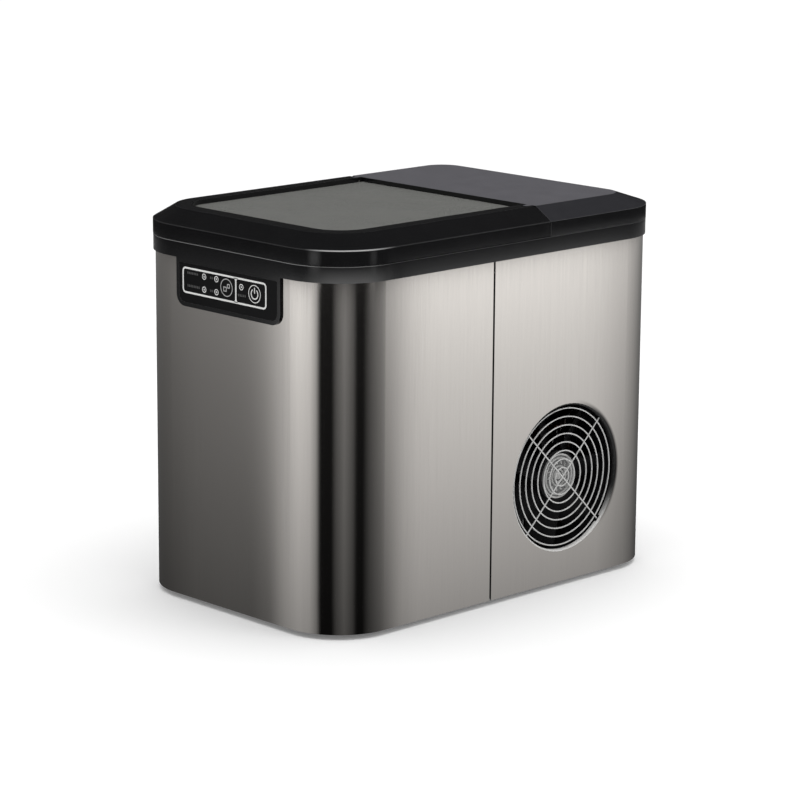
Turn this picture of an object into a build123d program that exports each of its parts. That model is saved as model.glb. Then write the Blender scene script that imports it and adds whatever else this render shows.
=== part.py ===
from build123d import *
from math import cos, radians, sin, sqrt
import os

# Countertop ice maker, millimetres. +Z is up, the control panel faces -Y, the fan blows out
# of the +X side. The origin is on the floor under the middle of the cabinet.

# --- Cabinet --------------------------------------------------------------------------------------
BODY_WIDTH = 230.0          # over the steel, side to side
BODY_DEPTH = 354.0          # over the steel, front to rear
SHELL_HEIGHT = 261.5        # steel wrap, lower edge to upper edge
FOOT_DROP = 4.0             # rubber feet below the steel's lower edge
SHEET = 0.8                 # steel sheet thickness
FRONT_CORNER_R = 49.0
REAR_CORNER_R = 45.0
SEAM_TO_REAR = 193.3        # from the joint of front wrap and rear wrap to the rear face
SHELL_SEAM_GAP = 1.8
FIT = 0.2                   # gap between a moulding and the sheet it slips into

# --- Top mouldings --------------------------------------------------------------------------------
FRAME_HEIGHT = 12.0         # visible band of the top frame
FRAME_PROUD = 1.7           # band stands out past the steel
BAND_WALL = 4.0
DECK = 3.0                  # horizontal flange of the top frame
SKIRT_DEPTH = 8.0           # tongue of the frame inside the steel
SKIRT_WALL = 1.8
LID_PROUD = 1.85
LID_GAP = 0.6               # shadow line between frame and lid
COVER_GAP = 0.3             # the fixed rear cover sits closer than the lid
LID_WALL_HEIGHT = 11.5      # upright wall of lid and rear cover
BEVEL_HEIGHT = 10.1         # sloping border above the wall
BEVEL_FRONT = 15.1
BEVEL_SIDE = 16.4
BEVEL_REAR = 35.0
LAND_FRONT_R = 38.0
LAND_REAR_R = 18.6
TOP_WALL = 2.5

# --- Lid, window and hinge ------------------------------------------------------------------------
HINGE_TO_REAR = 138.7       # hinge line to the steel's rear face
KNUCKLE_R = 3.5             # rear edge of the lid is rounded about the hinge pin
HINGE_CLEAR = 0.4
PIN_R = 1.5
RUNNING = 0.05              # radial clearance of every running fit
RECESS_SIDE_LAND = 11.45    # land between the bevel and the window recess at each side
RECESS_FRONT_LAND = 13.25   # land between the bevel and the recess at the front
RECESS_DEPTH = 3.5
RECESS_R = 26.0
WINDOW_T = 2.0
WINDOW_FIT = 0.3
LEDGE = 5.0                 # ledge under the window's edge
LEDGE_T = 2.2
EAR_WIDTH = 5.0
EAR_SIDE_GAP = 0.3
LUG_INNER = 2.4
LUG_OUTER = 3.7

# --- Control panel --------------------------------------------------------------------------------
TONGUE_HALF = 57.6
TONGUE_DROP = 36.0          # below the steel's upper edge
TONGUE_R = 9.0
TONGUE_FIT = 0.1            # plate stands this far off the steel
FILM_MARGIN = 3.2
FILM_T = 0.5
BUTTON_R = 6.8
BUTTON_CLEAR = 0.3
BUTTON_PROUD = 0.2
BUTTON_TRAVEL = 0.8
SELECT_BUTTON = (-0.7, 15.4)     # X, and distance below the steel's upper edge
POWER_BUTTON = (30.2, 15.8)
LED_R = 1.6
LED_PLACES = [(-26.0, 10.7), (-12.2, 10.7), (-26.0, 20.4), (-12.2, 20.4), (15.5, 12.7)]
POCKET_DEPTH = 8.0
POCKET_WALL = 1.5
BOARD_T = 1.6

# --- Base -----------------------------------------------------------------------------------------
BASE_RECESS = 1.0
BASE_T = 3.0
BASE_LIP_HEIGHT = 17.0
BASE_LIP_WALL = 1.6
FOOT_R = 11.0
FOOT_INSET = 33.0           # foot centre in from each steel face
FOOT_STEM_R = 3.0
BASE_SLOT_PITCH = 15.0

# --- Ice compartment ------------------------------------------------------------------------------
FOAM_SIDE = 13.7            # insulation beside the tub
FOAM_FRONT = 11.7
FOAM_REAR = 8.0
LINER_WALL = 2.0
LINER_FLOOR_Z = 22.0        # inside floor of the tub
LINER_FRONT_R = 20.0
LINER_REAR_R = 8.0
LINER_REAR_SETBACK = 6.2    # tub's rear wall ahead of the rear cover's front edge
STEP_AHEAD = 0.3            # tub's lower rear wall relative to the steel seam
RIM_T = 2.0
BASKET_WALL = 2.0
BASKET_HEIGHT = 76.0
BASKET_UNDER_LIP = 2.45     # basket's rim below the slide's front lip
BASKET_SLOT_PITCH = 12.0
BASKET_SIDE_GAP = 9.0
BASKET_FRONT_GAP = 5.0

# --- Bullet maker ---------------------------------------------------------------------------------
TRAY_TO_REAR = 36.0         # tray pivot ahead of the tub's rear wall
TRAY_SIDE_GAP = 27.6        # tub wall to the tray's inside, for the arms, motor and bush
TRAY_DEPTH = 26.0
TRAY_FRONT = 47.0           # inside front wall ahead of the pivot
TRAY_BACK = 3.0             # inside back wall ahead of the pivot
TRAY_RIM = 4.0
TRAY_WALL = 1.6
SHAFT_R = 3.0
FINGER_R = 5.0
FINGER_END_GAP = 12.4       # last finger's centre to the tray's inside end
FINGER_ROWS = (15.0, 35.0)  # rows ahead of the pivot
FINGER_REACH = 20.0         # fingertips below the pivot
EVAPORATOR_RISE = 20.0      # tube above the pivot
HOLDER_RISE = 10.0          # top of the evaporator's holder above its tube
EVAPORATOR_R = 4.5
BLADE_INNER = 58.5
BLADE_OUTER = 66.0
BLADE_ANGLE = 28.0          # rest position below the horizontal
SLIDE_INNER = 67.5
SLIDE_T = 1.6
SLIDE_ARC = (30.0, 110.0)
SLIDE_CLEAR = 1.9
ARM_T = 2.5
TOOTH_PITCH = 12.0

# --- Refrigeration and air ------------------------------------------------------------------------
FAN_SIZE = 120.0            # standard axial fan
FAN_T = 25.0
FAN_WALL = 2.5              # bore to the frame's edge
FAN_HOLE_EDGE = 7.5         # corner holes in from the frame's edge
FAN_TO_REAR = 112.0         # fan's centre to the steel's rear face
FAN_RISE = 82.5             # centre above the steel's lower edge
FAN_LAP = 1.75              # steel laps over the fan frame's edge by this much
BAY_CLEAR = 3.3             # fan to the insulation above it
LIP_ROLL = 1.3              # the steel rolls inward round the fan's opening
LIP_DEPTH = 3.2
LIP_NOTCH = 6.0             # gap in the lip at each arm of the guard
GUARD_DEPTH = 3.25          # wire centres behind the steel face
GUARD_WIRE_R = 0.75
GUARD_RINGS = 8
GUARD_EDGE_GAP = 4.25       # outer wire's centre to the edge of the steel's opening
GUARD_INNER_R = 7.3         # inner ring, wire centre
BADGE_R = 17.6              # stamped disc on the rotor's hub
BADGE_T = 1.5
CONDENSER_T = 30.0
CONDENSER_EDGE = 3.0        # condenser's edge inside the fan's
FIN_T = 0.5
FIN_COUNT = 24
COMPRESSOR_R = 50.0
COMPRESSOR_HEIGHT = 130.0
COMPRESSOR_X = -28.0
COMPRESSOR_REAR_GAP = 14.0
COMPRESSOR_WALL = 4.0
TUBE_R = 3.2
LOUVRE_ROWS = 11
LOUVRE_PITCH = 8.0
LOUVRE_LENGTH = 42.0
LOUVRE_HEIGHT = 3.4

# --- Services -------------------------------------------------------------------------------------
DRAIN_TO_SEAM = 43.7
DRAIN_Z = 40.0
DRAIN_CUP_R = 15.0
DRAIN_SPOUT_R = 6.0
DRAIN_BORE_R = 4.0
INLET_X = 40.0
INLET_Z = 42.0
INLET_WIDTH = 27.4
INLET_HEIGHT = 20.4

# --- Levels and edges worked out from the sizes above ---------------------------------------------
HALF_W = BODY_WIDTH / 2
FRONT_Y = -BODY_DEPTH / 2
REAR_Y = BODY_DEPTH / 2
SHELL_SEAM_Y = REAR_Y - SEAM_TO_REAR
SHELL_TOP = FOOT_DROP + SHELL_HEIGHT
FRAME_TOP = SHELL_TOP + FRAME_HEIGHT
BEVEL_Z = FRAME_TOP + LID_WALL_HEIGHT
TOP_Z = BEVEL_Z + BEVEL_HEIGHT
BASE_Z = FOOT_DROP + BASE_RECESS
BASE_FLOOR = BASE_Z + BASE_T
LAND_HALF = HALF_W + LID_PROUD - BEVEL_SIDE
LAND_FRONT = FRONT_Y - LID_PROUD + BEVEL_FRONT
LAND_REAR = REAR_Y + LID_PROUD - BEVEL_REAR
HINGE_Y = REAR_Y - HINGE_TO_REAR
HINGE_Z = TOP_Z - KNUCKLE_R
LID_REAR = HINGE_Y + KNUCKLE_R
COVER_FRONT = LID_REAR + HINGE_CLEAR
WINDOW_Z = TOP_Z - RECESS_DEPTH
RECESS_HALF = LAND_HALF - RECESS_SIDE_LAND
RECESS_FRONT = LAND_FRONT + RECESS_FRONT_LAND
EAR_INNER = RECESS_HALF + LUG_INNER + EAR_SIDE_GAP
EAR_OUTER = EAR_INNER + EAR_WIDTH
PANEL_Y = FRONT_Y - FRAME_PROUD
FILM_Y = PANEL_Y + 0.1
PLATE_BACK = FRONT_Y - TONGUE_FIT
BASE_INSET = SHEET + FIT
FOAM_INSET = BASE_INSET + BASE_LIP_WALL + FIT + 0.3
LINER_HALF = HALF_W - FOAM_INSET - FOAM_SIDE - FIT - LINER_WALL
LINER_FRONT = FRONT_Y + FOAM_INSET + FOAM_FRONT + FIT + LINER_WALL
LINER_REAR = COVER_FRONT - LINER_REAR_SETBACK
LINER_STEP = SHELL_SEAM_Y + STEP_AHEAD
LINER_TOP = FRAME_TOP - DECK - 0.3
FOAM_TOP = LINER_TOP - RIM_T - FIT
BAY_FRONT = LINER_STEP + LINER_WALL + FIT + FOAM_REAR
FAN_Y = REAR_Y - FAN_TO_REAR
FAN_Z = FOOT_DROP + FAN_RISE
BAY_CEILING = FAN_Z + FAN_SIZE / 2 + BAY_CLEAR
SHELF_Z = BAY_CEILING + FOAM_REAR + FIT + LINER_WALL      # floor of the tub's raised rear part
UPPER_BAY_FRONT = LINER_REAR + LINER_WALL + FIT + FOAM_REAR
PIVOT_Y = LINER_REAR - TRAY_TO_REAR
SLIDE_OUTER = SLIDE_INNER + SLIDE_T
PIVOT_Z = SHELF_Z + SLIDE_CLEAR + SLIDE_OUTER
EVAPORATOR_Z = PIVOT_Z + EVAPORATOR_RISE
TRAY_HALF = LINER_HALF - TRAY_SIDE_GAP
FINGER_PITCH = (TRAY_HALF - FINGER_END_GAP) / 2
FAN_FACE = HALF_W - GUARD_DEPTH - GUARD_WIRE_R
FAN_BACK = FAN_FACE - FAN_T
FAN_BORE_R = FAN_SIZE / 2 - FAN_WALL
FAN_HOLE_PITCH = FAN_SIZE - 2 * FAN_HOLE_EDGE
FAN_HOLE_R = FAN_SIZE / 2 - FAN_LAP
LIP_R = FAN_HOLE_R - LIP_ROLL
GUARD_OUTER_R = FAN_HOLE_R - GUARD_EDGE_GAP
GUARD_PITCH = (GUARD_OUTER_R - GUARD_INNER_R) / (GUARD_RINGS - 1)
HUB_FACE = FAN_FACE - 4.0
CONDENSER_HALF = FAN_SIZE / 2 - CONDENSER_EDGE
COMPRESSOR_Y = REAR_Y - SHEET - COMPRESSOR_REAR_GAP - COMPRESSOR_R
SLIDE_LIP_Z = PIVOT_Z - SLIDE_OUTER * sin(radians(SLIDE_ARC[0]))
BASKET_Z = SLIDE_LIP_Z - BASKET_UNDER_LIP - BASKET_HEIGHT
LEDGE_Z = BASKET_Z - FIT     # basket rests here
BASKET_HALF = LINER_HALF - BASKET_SIDE_GAP
BASKET_FRONT = LINER_FRONT + BASKET_FRONT_GAP
BASKET_REAR = PIVOT_Y - SLIDE_OUTER * cos(radians(SLIDE_ARC[0])) - 3.2
DRAIN_Y = SHELL_SEAM_Y - DRAIN_TO_SEAM
FAR = 1000.0                # larger than the machine, for trimming


# --- Shape helpers --------------------------------------------------------------------------------
def plan(half_x, y_front, y_rear, r_front, r_rear):
    """Flat outline seen from above, with its own radius at the front and rear corners."""
    flat = Pos(0, (y_front + y_rear) / 2) * Rectangle(2 * half_x, y_rear - y_front)
    if r_front > 0:
        flat = fillet(flat.vertices().group_by(Axis.Y)[0], r_front)
    if r_rear > 0:
        flat = fillet(flat.vertices().group_by(Axis.Y)[-1], r_rear)
    return flat


def cabinet_plan(inset):
    """The cabinet's outline, this far inside the steel's outer face."""
    return plan(HALF_W - inset, FRONT_Y + inset, REAR_Y - inset,
                FRONT_CORNER_R - inset, REAR_CORNER_R - inset)


def land_plan(inset):
    """The flat top inside the bevel, this far inside its outer line."""
    return plan(LAND_HALF - inset, LAND_FRONT + inset, LAND_REAR - inset,
                LAND_FRONT_R - inset, LAND_REAR_R - inset)


def tub_plan(grow, y_rear):
    """The tub's inner outline, grown outward, ending at a rear wall."""
    return plan(LINER_HALF + grow, LINER_FRONT - grow, y_rear + grow,
                LINER_FRONT_R + grow, LINER_REAR_R + grow)


def slab(flat, z_low, z_high):
    return extrude(Pos(0, 0, z_low) * flat, amount=z_high - z_low)


def block(x0, x1, y0, y1, z0, z1):
    return Pos((x0 + x1) / 2, (y0 + y1) / 2, (z0 + z1) / 2) * Box(x1 - x0, y1 - y0, z1 - z0)


def rod_x(x0, x1, y, z, r):
    return Pos((x0 + x1) / 2, y, z) * Rot(0, 90, 0) * Cylinder(r, x1 - x0)


def rod_y(x, y0, y1, z, r):
    return Pos(x, (y0 + y1) / 2, z) * Rot(90, 0, 0) * Cylinder(r, y1 - y0)


def rod_z(x, y, z0, z1, r):
    return Pos(x, y, (z0 + z1) / 2) * Cylinder(r, z1 - z0)


def along_x(flat, x0, x1):
    """Extrude an outline drawn as (Y, Z) between two X positions."""
    side = Plane(origin=(x0, 0, 0), x_dir=(0, 1, 0), z_dir=(1, 0, 0))
    return extrude(side * flat, amount=x1 - x0)


def along_y(flat, y0, y1):
    """Extrude an outline drawn as (X, Z) between two Y positions."""
    back = Plane(origin=(0, y1, 0), x_dir=(1, 0, 0), z_dir=(0, -1, 0))
    return extrude(back * flat, amount=y1 - y0)


def rounded(x0, x1, z0, z1, r):
    return Pos((x0 + x1) / 2, (z0 + z1) / 2) * RectangleRounded(x1 - x0, z1 - z0, r)


def bent_tube(points, bend, r):
    """Round tube or wire along straight runs joined by arcs."""
    route = FilletPolyline(*points, radius=bend)
    start = Plane(origin=route @ 0, z_dir=route % 0)
    return sweep(start * Circle(r), path=route)


def spread(half, pitch):
    """Evenly spaced places about the middle, as many as fit within the half width."""
    count = int(half // pitch)
    return [step * pitch for step in range(-count, count + 1)]


def pan_screw(x, y, z, length):
    """Pan-head screw driven upward, with its head's seat at (x, y, z)."""
    return rod_z(x, y, z - SCREW_HEAD, z, SCREW_HEAD_R) + rod_z(x, y, z, z + length, SCREW_R)


def both_sides(shape):
    """The shape and its mirror image across the middle of the cabinet."""
    return shape + mirror(shape, about=Plane.YZ)


def write(name, shape):
    export_step(Compound(children=[s for s in shape.solids()]), f"parts/{name}.step")


# --- Base, feet and steel -------------------------------------------------------------------------
FOOT_PLACES = [(sx * (HALF_W - FOOT_INSET), sy * (REAR_Y - FOOT_INSET))
               for sx in (-1, 1) for sy in (-1, 1)]
MOUNT_PLACES = [(COMPRESSOR_X + sx * (COMPRESSOR_R - 4.0), COMPRESSOR_Y + sy * (COMPRESSOR_R - 4.0))
                for sx in (-1, 1) for sy in (-1, 1)]
GROMMET_TOP = BASE_FLOOR + 9.0
STUD_R = 2.9


def base_tray():
    tray = slab(cabinet_plan(BASE_INSET), BASE_Z, BASE_FLOOR)
    lip_plan = cabinet_plan(BASE_INSET) - cabinet_plan(BASE_INSET + BASE_LIP_WALL)
    tray += slab(lip_plan, BASE_Z, BASE_Z + BASE_LIP_HEIGHT)
    for x, y in MOUNT_PLACES:
        tray += rod_z(x, y, BASE_FLOOR, GROMMET_TOP + 8.0, STUD_R)
    stiffener = block(-LINER_HALF, LINER_HALF, BAY_FRONT + 1.0, BAY_FRONT + 3.0,
                      BASE_FLOOR, BASE_FLOOR + 6.0)
    tray += stiffener
    tray -= [rod_z(x, y, BASE_Z - 1, BASE_FLOOR + 1, FOOT_STEM_R) for x, y in FOOT_PLACES]
    slots = []
    for y0, y1, half in ((LINER_FRONT + 20.0, DRAIN_Y, 35.0), (BAY_FRONT + 26.0, FAN_Y - 13.0, 50.0)):
        slots += [block(x - 2.0, x + 2.0, y0, y1, BASE_Z - 1, BASE_FLOOR + 1)
                  for x in spread(half, BASE_SLOT_PITCH)]
    return tray - slots


def feet():
    pads = []
    for x, y in FOOT_PLACES:
        pad = rod_z(x, y, 0, BASE_Z, FOOT_R)
        pad = chamfer(pad.edges().group_by(Axis.Z)[0], 1.0)
        pads.append(pad + rod_z(x, y, BASE_Z, BASE_FLOOR + 1.5, FOOT_STEM_R))
    return Part() + pads


def steel_wrap():
    return slab(cabinet_plan(0) - cabinet_plan(SHEET), FOOT_DROP, SHELL_TOP)


def front_shell():
    wrap = steel_wrap() & block(-FAR, FAR, -FAR, SHELL_SEAM_Y - SHELL_SEAM_GAP / 2, -FAR, FAR)
    notch = block(-TONGUE_HALF + 3.0, TONGUE_HALF - 3.0, FRONT_Y - 1, FRONT_Y + SHEET + 1,
                  SHELL_TOP - TONGUE_DROP + 3.0, SHELL_TOP + 1)
    drain = rod_x(-HALF_W - 1, -HALF_W + SHEET + 1, DRAIN_Y, DRAIN_Z, DRAIN_CUP_R + FIT)
    return wrap - notch - drain


def louvres(y_middle, x0, x1):
    """A column of horizontal air slots through a side wall."""
    low = FAN_Z - (LOUVRE_ROWS - 1) / 2 * LOUVRE_PITCH
    slots = []
    for row in range(LOUVRE_ROWS):
        z = low + row * LOUVRE_PITCH
        slot = Pos(y_middle, z) * SlotOverall(LOUVRE_LENGTH, LOUVRE_HEIGHT)
        slots.append(along_x(slot, x0, x1))
    return slots


def rolled_lip():
    """Edge of the fan's opening, drawn inward, with a notch for each arm of the guard."""
    low_x = HALF_W - LIP_DEPTH
    roll_x = HALF_W - LIP_ROLL
    roll = Torus(FAN_HOLE_R, LIP_ROLL) - Torus(FAN_HOLE_R, LIP_ROLL - SHEET)
    roll = Pos(roll_x, FAN_Y, FAN_Z) * Rot(0, 90, 0) * roll
    roll &= rod_x(roll_x, HALF_W, FAN_Y, FAN_Z, FAN_HOLE_R)
    lip = rod_x(low_x, roll_x, FAN_Y, FAN_Z, LIP_R + SHEET)
    lip -= rod_x(low_x - 1, roll_x + 1, FAN_Y, FAN_Z, LIP_R)
    notch = Box(2 * (LIP_DEPTH - LIP_ROLL) - 0.4, 6.0, LIP_NOTCH)
    for turn in (45, 135, 225, 315):
        lip -= Pos(low_x, FAN_Y, FAN_Z) * Rot(turn, 0, 0) * Pos(0, LIP_R, 0) * notch
    return roll + lip


def rear_shell():
    seam = SHELL_SEAM_Y + SHELL_SEAM_GAP / 2
    wrap = steel_wrap() & block(-FAR, FAR, seam, FAR, -FAR, FAR)
    inner = HALF_W - SHEET
    joggle = block(inner - SHEET, inner, seam, seam + 4.0, 24, SHELL_TOP - SKIRT_DEPTH - 1)
    joggle += block(inner - SHEET, inner - 0.1, seam - 9.0, seam, 24, SHELL_TOP - SKIRT_DEPTH - 1)
    wrap += both_sides(joggle)
    wrap -= rod_x(inner - 2, HALF_W + 1, FAN_Y, FAN_Z, FAN_HOLE_R)
    wrap += rolled_lip()
    wrap -= louvres(FAN_Y - 26.0, -HALF_W - 1, -inner + 2)
    wrap -= louvres(FAN_Y + 26.0, -HALF_W - 1, -inner + 2)
    rear_slots = []
    for row in range(LOUVRE_ROWS):
        slot = Pos(COMPRESSOR_X, FAN_Z + (row + 1) * LOUVRE_PITCH) * SlotOverall(60, LOUVRE_HEIGHT)
        rear_slots.append(along_y(slot, REAR_Y - SHEET - 1, REAR_Y + 1))
    wrap -= rear_slots
    return wrap - along_y(inlet_outline(FIT, 3.0), REAR_Y - SHEET - 1, REAR_Y + 1)


# --- Top frame and control panel ------------------------------------------------------------------
COVER_SCREWS = [(sx * (LAND_HALF - 30.45), y)
                for sx in (-1, 1) for y in (UPPER_BAY_FRONT + 8.0, REAR_Y - 16.0)]
SCREW_R = 1.5
SCREW_HEAD_R = 3.2
SCREW_HEAD = 2.2
PILOT_R = SCREW_R + RUNNING
SCREW_LENGTH = 11.0


def tongue_outline(inset, z_top):
    """Control tongue seen from the front, inset from its edge, square at the top."""
    half = TONGUE_HALF - inset
    low = SHELL_TOP - TONGUE_DROP + inset
    flat = Pos(0, (low + z_top) / 2) * Rectangle(2 * half, z_top - low)
    return fillet(flat.vertices().group_by(Axis.Y)[0], TONGUE_R - inset)


def top_frame():
    band_plan = cabinet_plan(-FRAME_PROUD) - cabinet_plan(BAND_WALL - FRAME_PROUD)
    frame = slab(band_plan, SHELL_TOP, FRAME_TOP)
    skirt_plan = cabinet_plan(BASE_INSET) - cabinet_plan(BASE_INSET + SKIRT_WALL)
    frame += slab(skirt_plan, SHELL_TOP - SKIRT_DEPTH, SHELL_TOP + 2.0)
    deck = cabinet_plan(0) - tub_plan(-0.5, LINER_REAR)
    deck -= plan(LINER_HALF - 12.0, UPPER_BAY_FRONT + 12.0, REAR_Y - 24.0, 20.0, 30.0)
    frame += slab(deck, FRAME_TOP - DECK, FRAME_TOP)
    frame += along_y(tongue_outline(0, SHELL_TOP + 2.0), PANEL_Y, PLATE_BACK)
    pocket = along_y(tongue_outline(FILM_MARGIN, SHELL_TOP), PLATE_BACK, PLATE_BACK + POCKET_DEPTH)
    hollow = along_y(tongue_outline(FILM_MARGIN + POCKET_WALL, SHELL_TOP - 3.0),
                     PLATE_BACK, PLATE_BACK + POCKET_DEPTH + 1)
    frame += pocket
    frame -= hollow
    frame -= along_y(tongue_outline(FILM_MARGIN, SHELL_TOP - 3.0), PANEL_Y - 1, FILM_Y + FILM_T)
    for x, drop in (SELECT_BUTTON, POWER_BUTTON):
        frame -= rod_y(x, PANEL_Y - 1, PLATE_BACK + 1, SHELL_TOP - drop, BUTTON_R + BUTTON_CLEAR)
    for x, drop in LED_PLACES:
        frame -= rod_y(x, PANEL_Y - 1, PLATE_BACK + 1, SHELL_TOP - drop, LED_R + 0.1)
    frame -= [rod_z(x, y, FRAME_TOP - DECK - 1, FRAME_TOP + 1, SCREW_R + FIT) for x, y in COVER_SCREWS]
    return frame


def control_film():
    film = along_y(tongue_outline(FILM_MARGIN + 0.1, SHELL_TOP - 3.1), FILM_Y, FILM_Y + FILM_T)
    for x, drop in (SELECT_BUTTON, POWER_BUTTON):
        film -= rod_y(x, PANEL_Y - 1, PLATE_BACK + 1, SHELL_TOP - drop, BUTTON_R + BUTTON_CLEAR)
    for x, drop in LED_PLACES:
        film -= rod_y(x, PANEL_Y - 1, PLATE_BACK + 1, SHELL_TOP - drop, LED_R)
    return film


BOARD_Y = PLATE_BACK + POCKET_DEPTH - 2.0      # front face of the control board
SWITCH_FACE = PLATE_BACK + 1.0 + BUTTON_TRAVEL + 0.3


def button(place):
    x, drop = place
    z = SHELL_TOP - drop
    cap = rod_y(x, FILM_Y - BUTTON_PROUD, PLATE_BACK + 0.1, z, BUTTON_R)
    cap = fillet(cap.edges().group_by(Axis.Y)[0], 0.15)
    return cap + rod_y(x, PLATE_BACK + 0.1, PLATE_BACK + 1.0, z, BUTTON_R + 1.0)


def leds():
    pipes = []
    for x, drop in LED_PLACES:
        z = SHELL_TOP - drop
        pipe = rod_y(x, FILM_Y, BOARD_Y - 1.0, z, LED_R)
        pipes.append(pipe + rod_y(x, BOARD_Y - 2.0, BOARD_Y, z, LED_R + 0.6))
    return Part() + pipes


def control_board():
    half = TONGUE_HALF - FILM_MARGIN - POCKET_WALL - 3.0
    low = SHELL_TOP - TONGUE_DROP + FILM_MARGIN + POCKET_WALL + 2.0
    board = block(-half, half, BOARD_Y, BOARD_Y + BOARD_T, low, SHELL_TOP - 6.0)
    for x, drop in (SELECT_BUTTON, POWER_BUTTON):
        z = SHELL_TOP - drop
        board += block(x - 3.0, x + 3.0, SWITCH_FACE + 0.4, BOARD_Y, z - 3.0, z + 3.0)
        board += rod_y(x, SWITCH_FACE, SWITCH_FACE + 0.5, z, 1.6)
    return board + block(-44, -32, BOARD_Y + BOARD_T, BOARD_Y + BOARD_T + 1.4, low + 4, low + 12)


# --- Lid and rear cover ---------------------------------------------------------------------------
def top_form(inset, z_low):
    """Solid of the whole top, this far inside its outer skin: wall, bevel and flat land."""
    wall_top = BEVEL_Z - 0.55 * inset
    wall = slab(cabinet_plan(inset - LID_PROUD), z_low, wall_top)
    lower = Pos(0, 0, wall_top) * cabinet_plan(inset - LID_PROUD)
    upper = Pos(0, 0, TOP_Z - inset) * land_plan(0.3 * inset)
    return wall + loft([lower, upper], ruled=True)


def rear_edge_relief():
    """What the lid may not fill: everything behind and above its hinge-centred rounding."""
    behind = block(-FAR, FAR, HINGE_Y, FAR, HINGE_Z, FAR)
    return behind - rod_x(-FAR, FAR, HINGE_Y, HINGE_Z, KNUCKLE_R)


def lid_frame():
    outer = top_form(0, FRAME_TOP + LID_GAP)
    skin = outer - top_form(TOP_WALL, FRAME_TOP - 5)
    ring_low = WINDOW_Z - WINDOW_T - LEDGE_T
    ring = slab(plan(RECESS_HALF + 3.5, RECESS_FRONT - 3.5, LID_REAR, RECESS_R + 3.5, 0),
                ring_low, TOP_Z)
    lug = block(RECESS_HALF - 1, EAR_OUTER + EAR_SIDE_GAP + LUG_OUTER, HINGE_Y - 10.0, LID_REAR,
                ring_low, TOP_Z)
    body = (skin + ring + both_sides(lug)) & outer
    body &= block(-FAR, FAR, -FAR, LID_REAR, -FAR, FAR)
    body -= slab(plan(RECESS_HALF, RECESS_FRONT, FAR, RECESS_R, 0), WINDOW_Z - WINDOW_T, TOP_Z + 1)
    body -= slab(plan(RECESS_HALF - LEDGE, RECESS_FRONT + LEDGE, HINGE_Y - 4.0, RECESS_R - LEDGE, 4),
                 ring_low - 1, TOP_Z + 1)
    body -= rear_edge_relief()
    notch = block(EAR_INNER - EAR_SIDE_GAP, EAR_OUTER + EAR_SIDE_GAP,
                  HINGE_Y - KNUCKLE_R - 0.6, FAR, ring_low - 20, TOP_Z + 1)
    bore = rod_x(RECESS_HALF - 1, EAR_OUTER + EAR_SIDE_GAP + LUG_OUTER, HINGE_Y, HINGE_Z,
                 PIN_R + RUNNING)
    return body - both_sides(notch + bore)


def lid_window():
    half = RECESS_HALF - WINDOW_FIT
    pane = plan(half, RECESS_FRONT + WINDOW_FIT, LID_REAR - WINDOW_FIT, RECESS_R - WINDOW_FIT, 0)
    return slab(pane, WINDOW_Z - WINDOW_T, WINDOW_Z)


def rear_cover():
    low = FRAME_TOP + COVER_GAP
    outer = top_form(0, low)
    behind = block(-FAR, FAR, COVER_FRONT, FAR, -FAR, FAR)
    cover = (outer - top_form(TOP_WALL, low - 5)) & behind
    cover += outer & block(-FAR, FAR, COVER_FRONT, COVER_FRONT + TOP_WALL, low, FAR)
    ear = rod_x(EAR_INNER, EAR_OUTER, HINGE_Y, HINGE_Z, KNUCKLE_R)
    ear += block(EAR_INNER, EAR_OUTER, HINGE_Y, COVER_FRONT + 0.5, HINGE_Z - KNUCKLE_R, TOP_Z)
    cover += both_sides(ear & outer)
    for x, y in COVER_SCREWS:
        cover += rod_z(x, y, low, TOP_Z, 4.0) & top_form(0.5, low)
        cover -= rod_z(x, y, low - 1, low + SCREW_LENGTH, PILOT_R)
    bore = rod_x(EAR_INNER - 1, EAR_OUTER + 1, HINGE_Y, HINGE_Z, PIN_R)
    return cover - both_sides(bore)


def lid_hinge_pins():
    pin = rod_x(RECESS_HALF + 0.3, EAR_OUTER + EAR_SIDE_GAP + LUG_OUTER - 0.3, HINGE_Y, HINGE_Z, PIN_R)
    return both_sides(pin)


def cover_screws():
    return Part() + [pan_screw(x, y, FRAME_TOP - DECK, SCREW_LENGTH) for x, y in COVER_SCREWS]


# --- Tub, insulation and basket -------------------------------------------------------------------
TUBE_EXITS = [LINER_HALF - 12.0, LINER_HALF - 26.0]      # X where the refrigerant tubes leave
PUMP_X = LINER_HALF - 36.0
PUMP_Y = LINER_STEP - 24.0
PUMP_R = 18.0
HOSE_X = LINER_HALF - 7.0
HOSE_R = 3.5


def inner_liner():
    outer = slab(tub_plan(LINER_WALL, LINER_STEP), LINER_FLOOR_Z - LINER_WALL, SHELF_Z + 10)
    outer += slab(tub_plan(LINER_WALL, LINER_REAR), SHELF_Z - LINER_WALL, LINER_TOP)
    inner = slab(tub_plan(0, LINER_STEP), LINER_FLOOR_Z, SHELF_Z + 10)
    inner += slab(tub_plan(0, LINER_REAR), SHELF_Z, LINER_TOP + 1)
    rim = tub_plan(FOAM_SIDE - 2.0, LINER_REAR) & cabinet_plan(FOAM_INSET + FIT)
    rim -= tub_plan(0, LINER_REAR)
    tub = outer - inner + slab(rim, LINER_TOP - RIM_T, LINER_TOP)
    rest = block(BASKET_HALF - 5.0, LINER_HALF + 1, BASKET_FRONT + LINER_FRONT_R, BASKET_REAR - 6.0,
                 LEDGE_Z - 5.0, LEDGE_Z)
    tub += both_sides(rest)
    tub -= rod_x(-LINER_HALF - 5, -LINER_HALF + 5, DRAIN_Y, DRAIN_Z, DRAIN_SPOUT_R)
    for x in TUBE_EXITS:
        tub -= rod_y(x, LINER_REAR - 5, LINER_REAR + 5, EVAPORATOR_Z, EVAPORATOR_R + FIT)
    return tub


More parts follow.
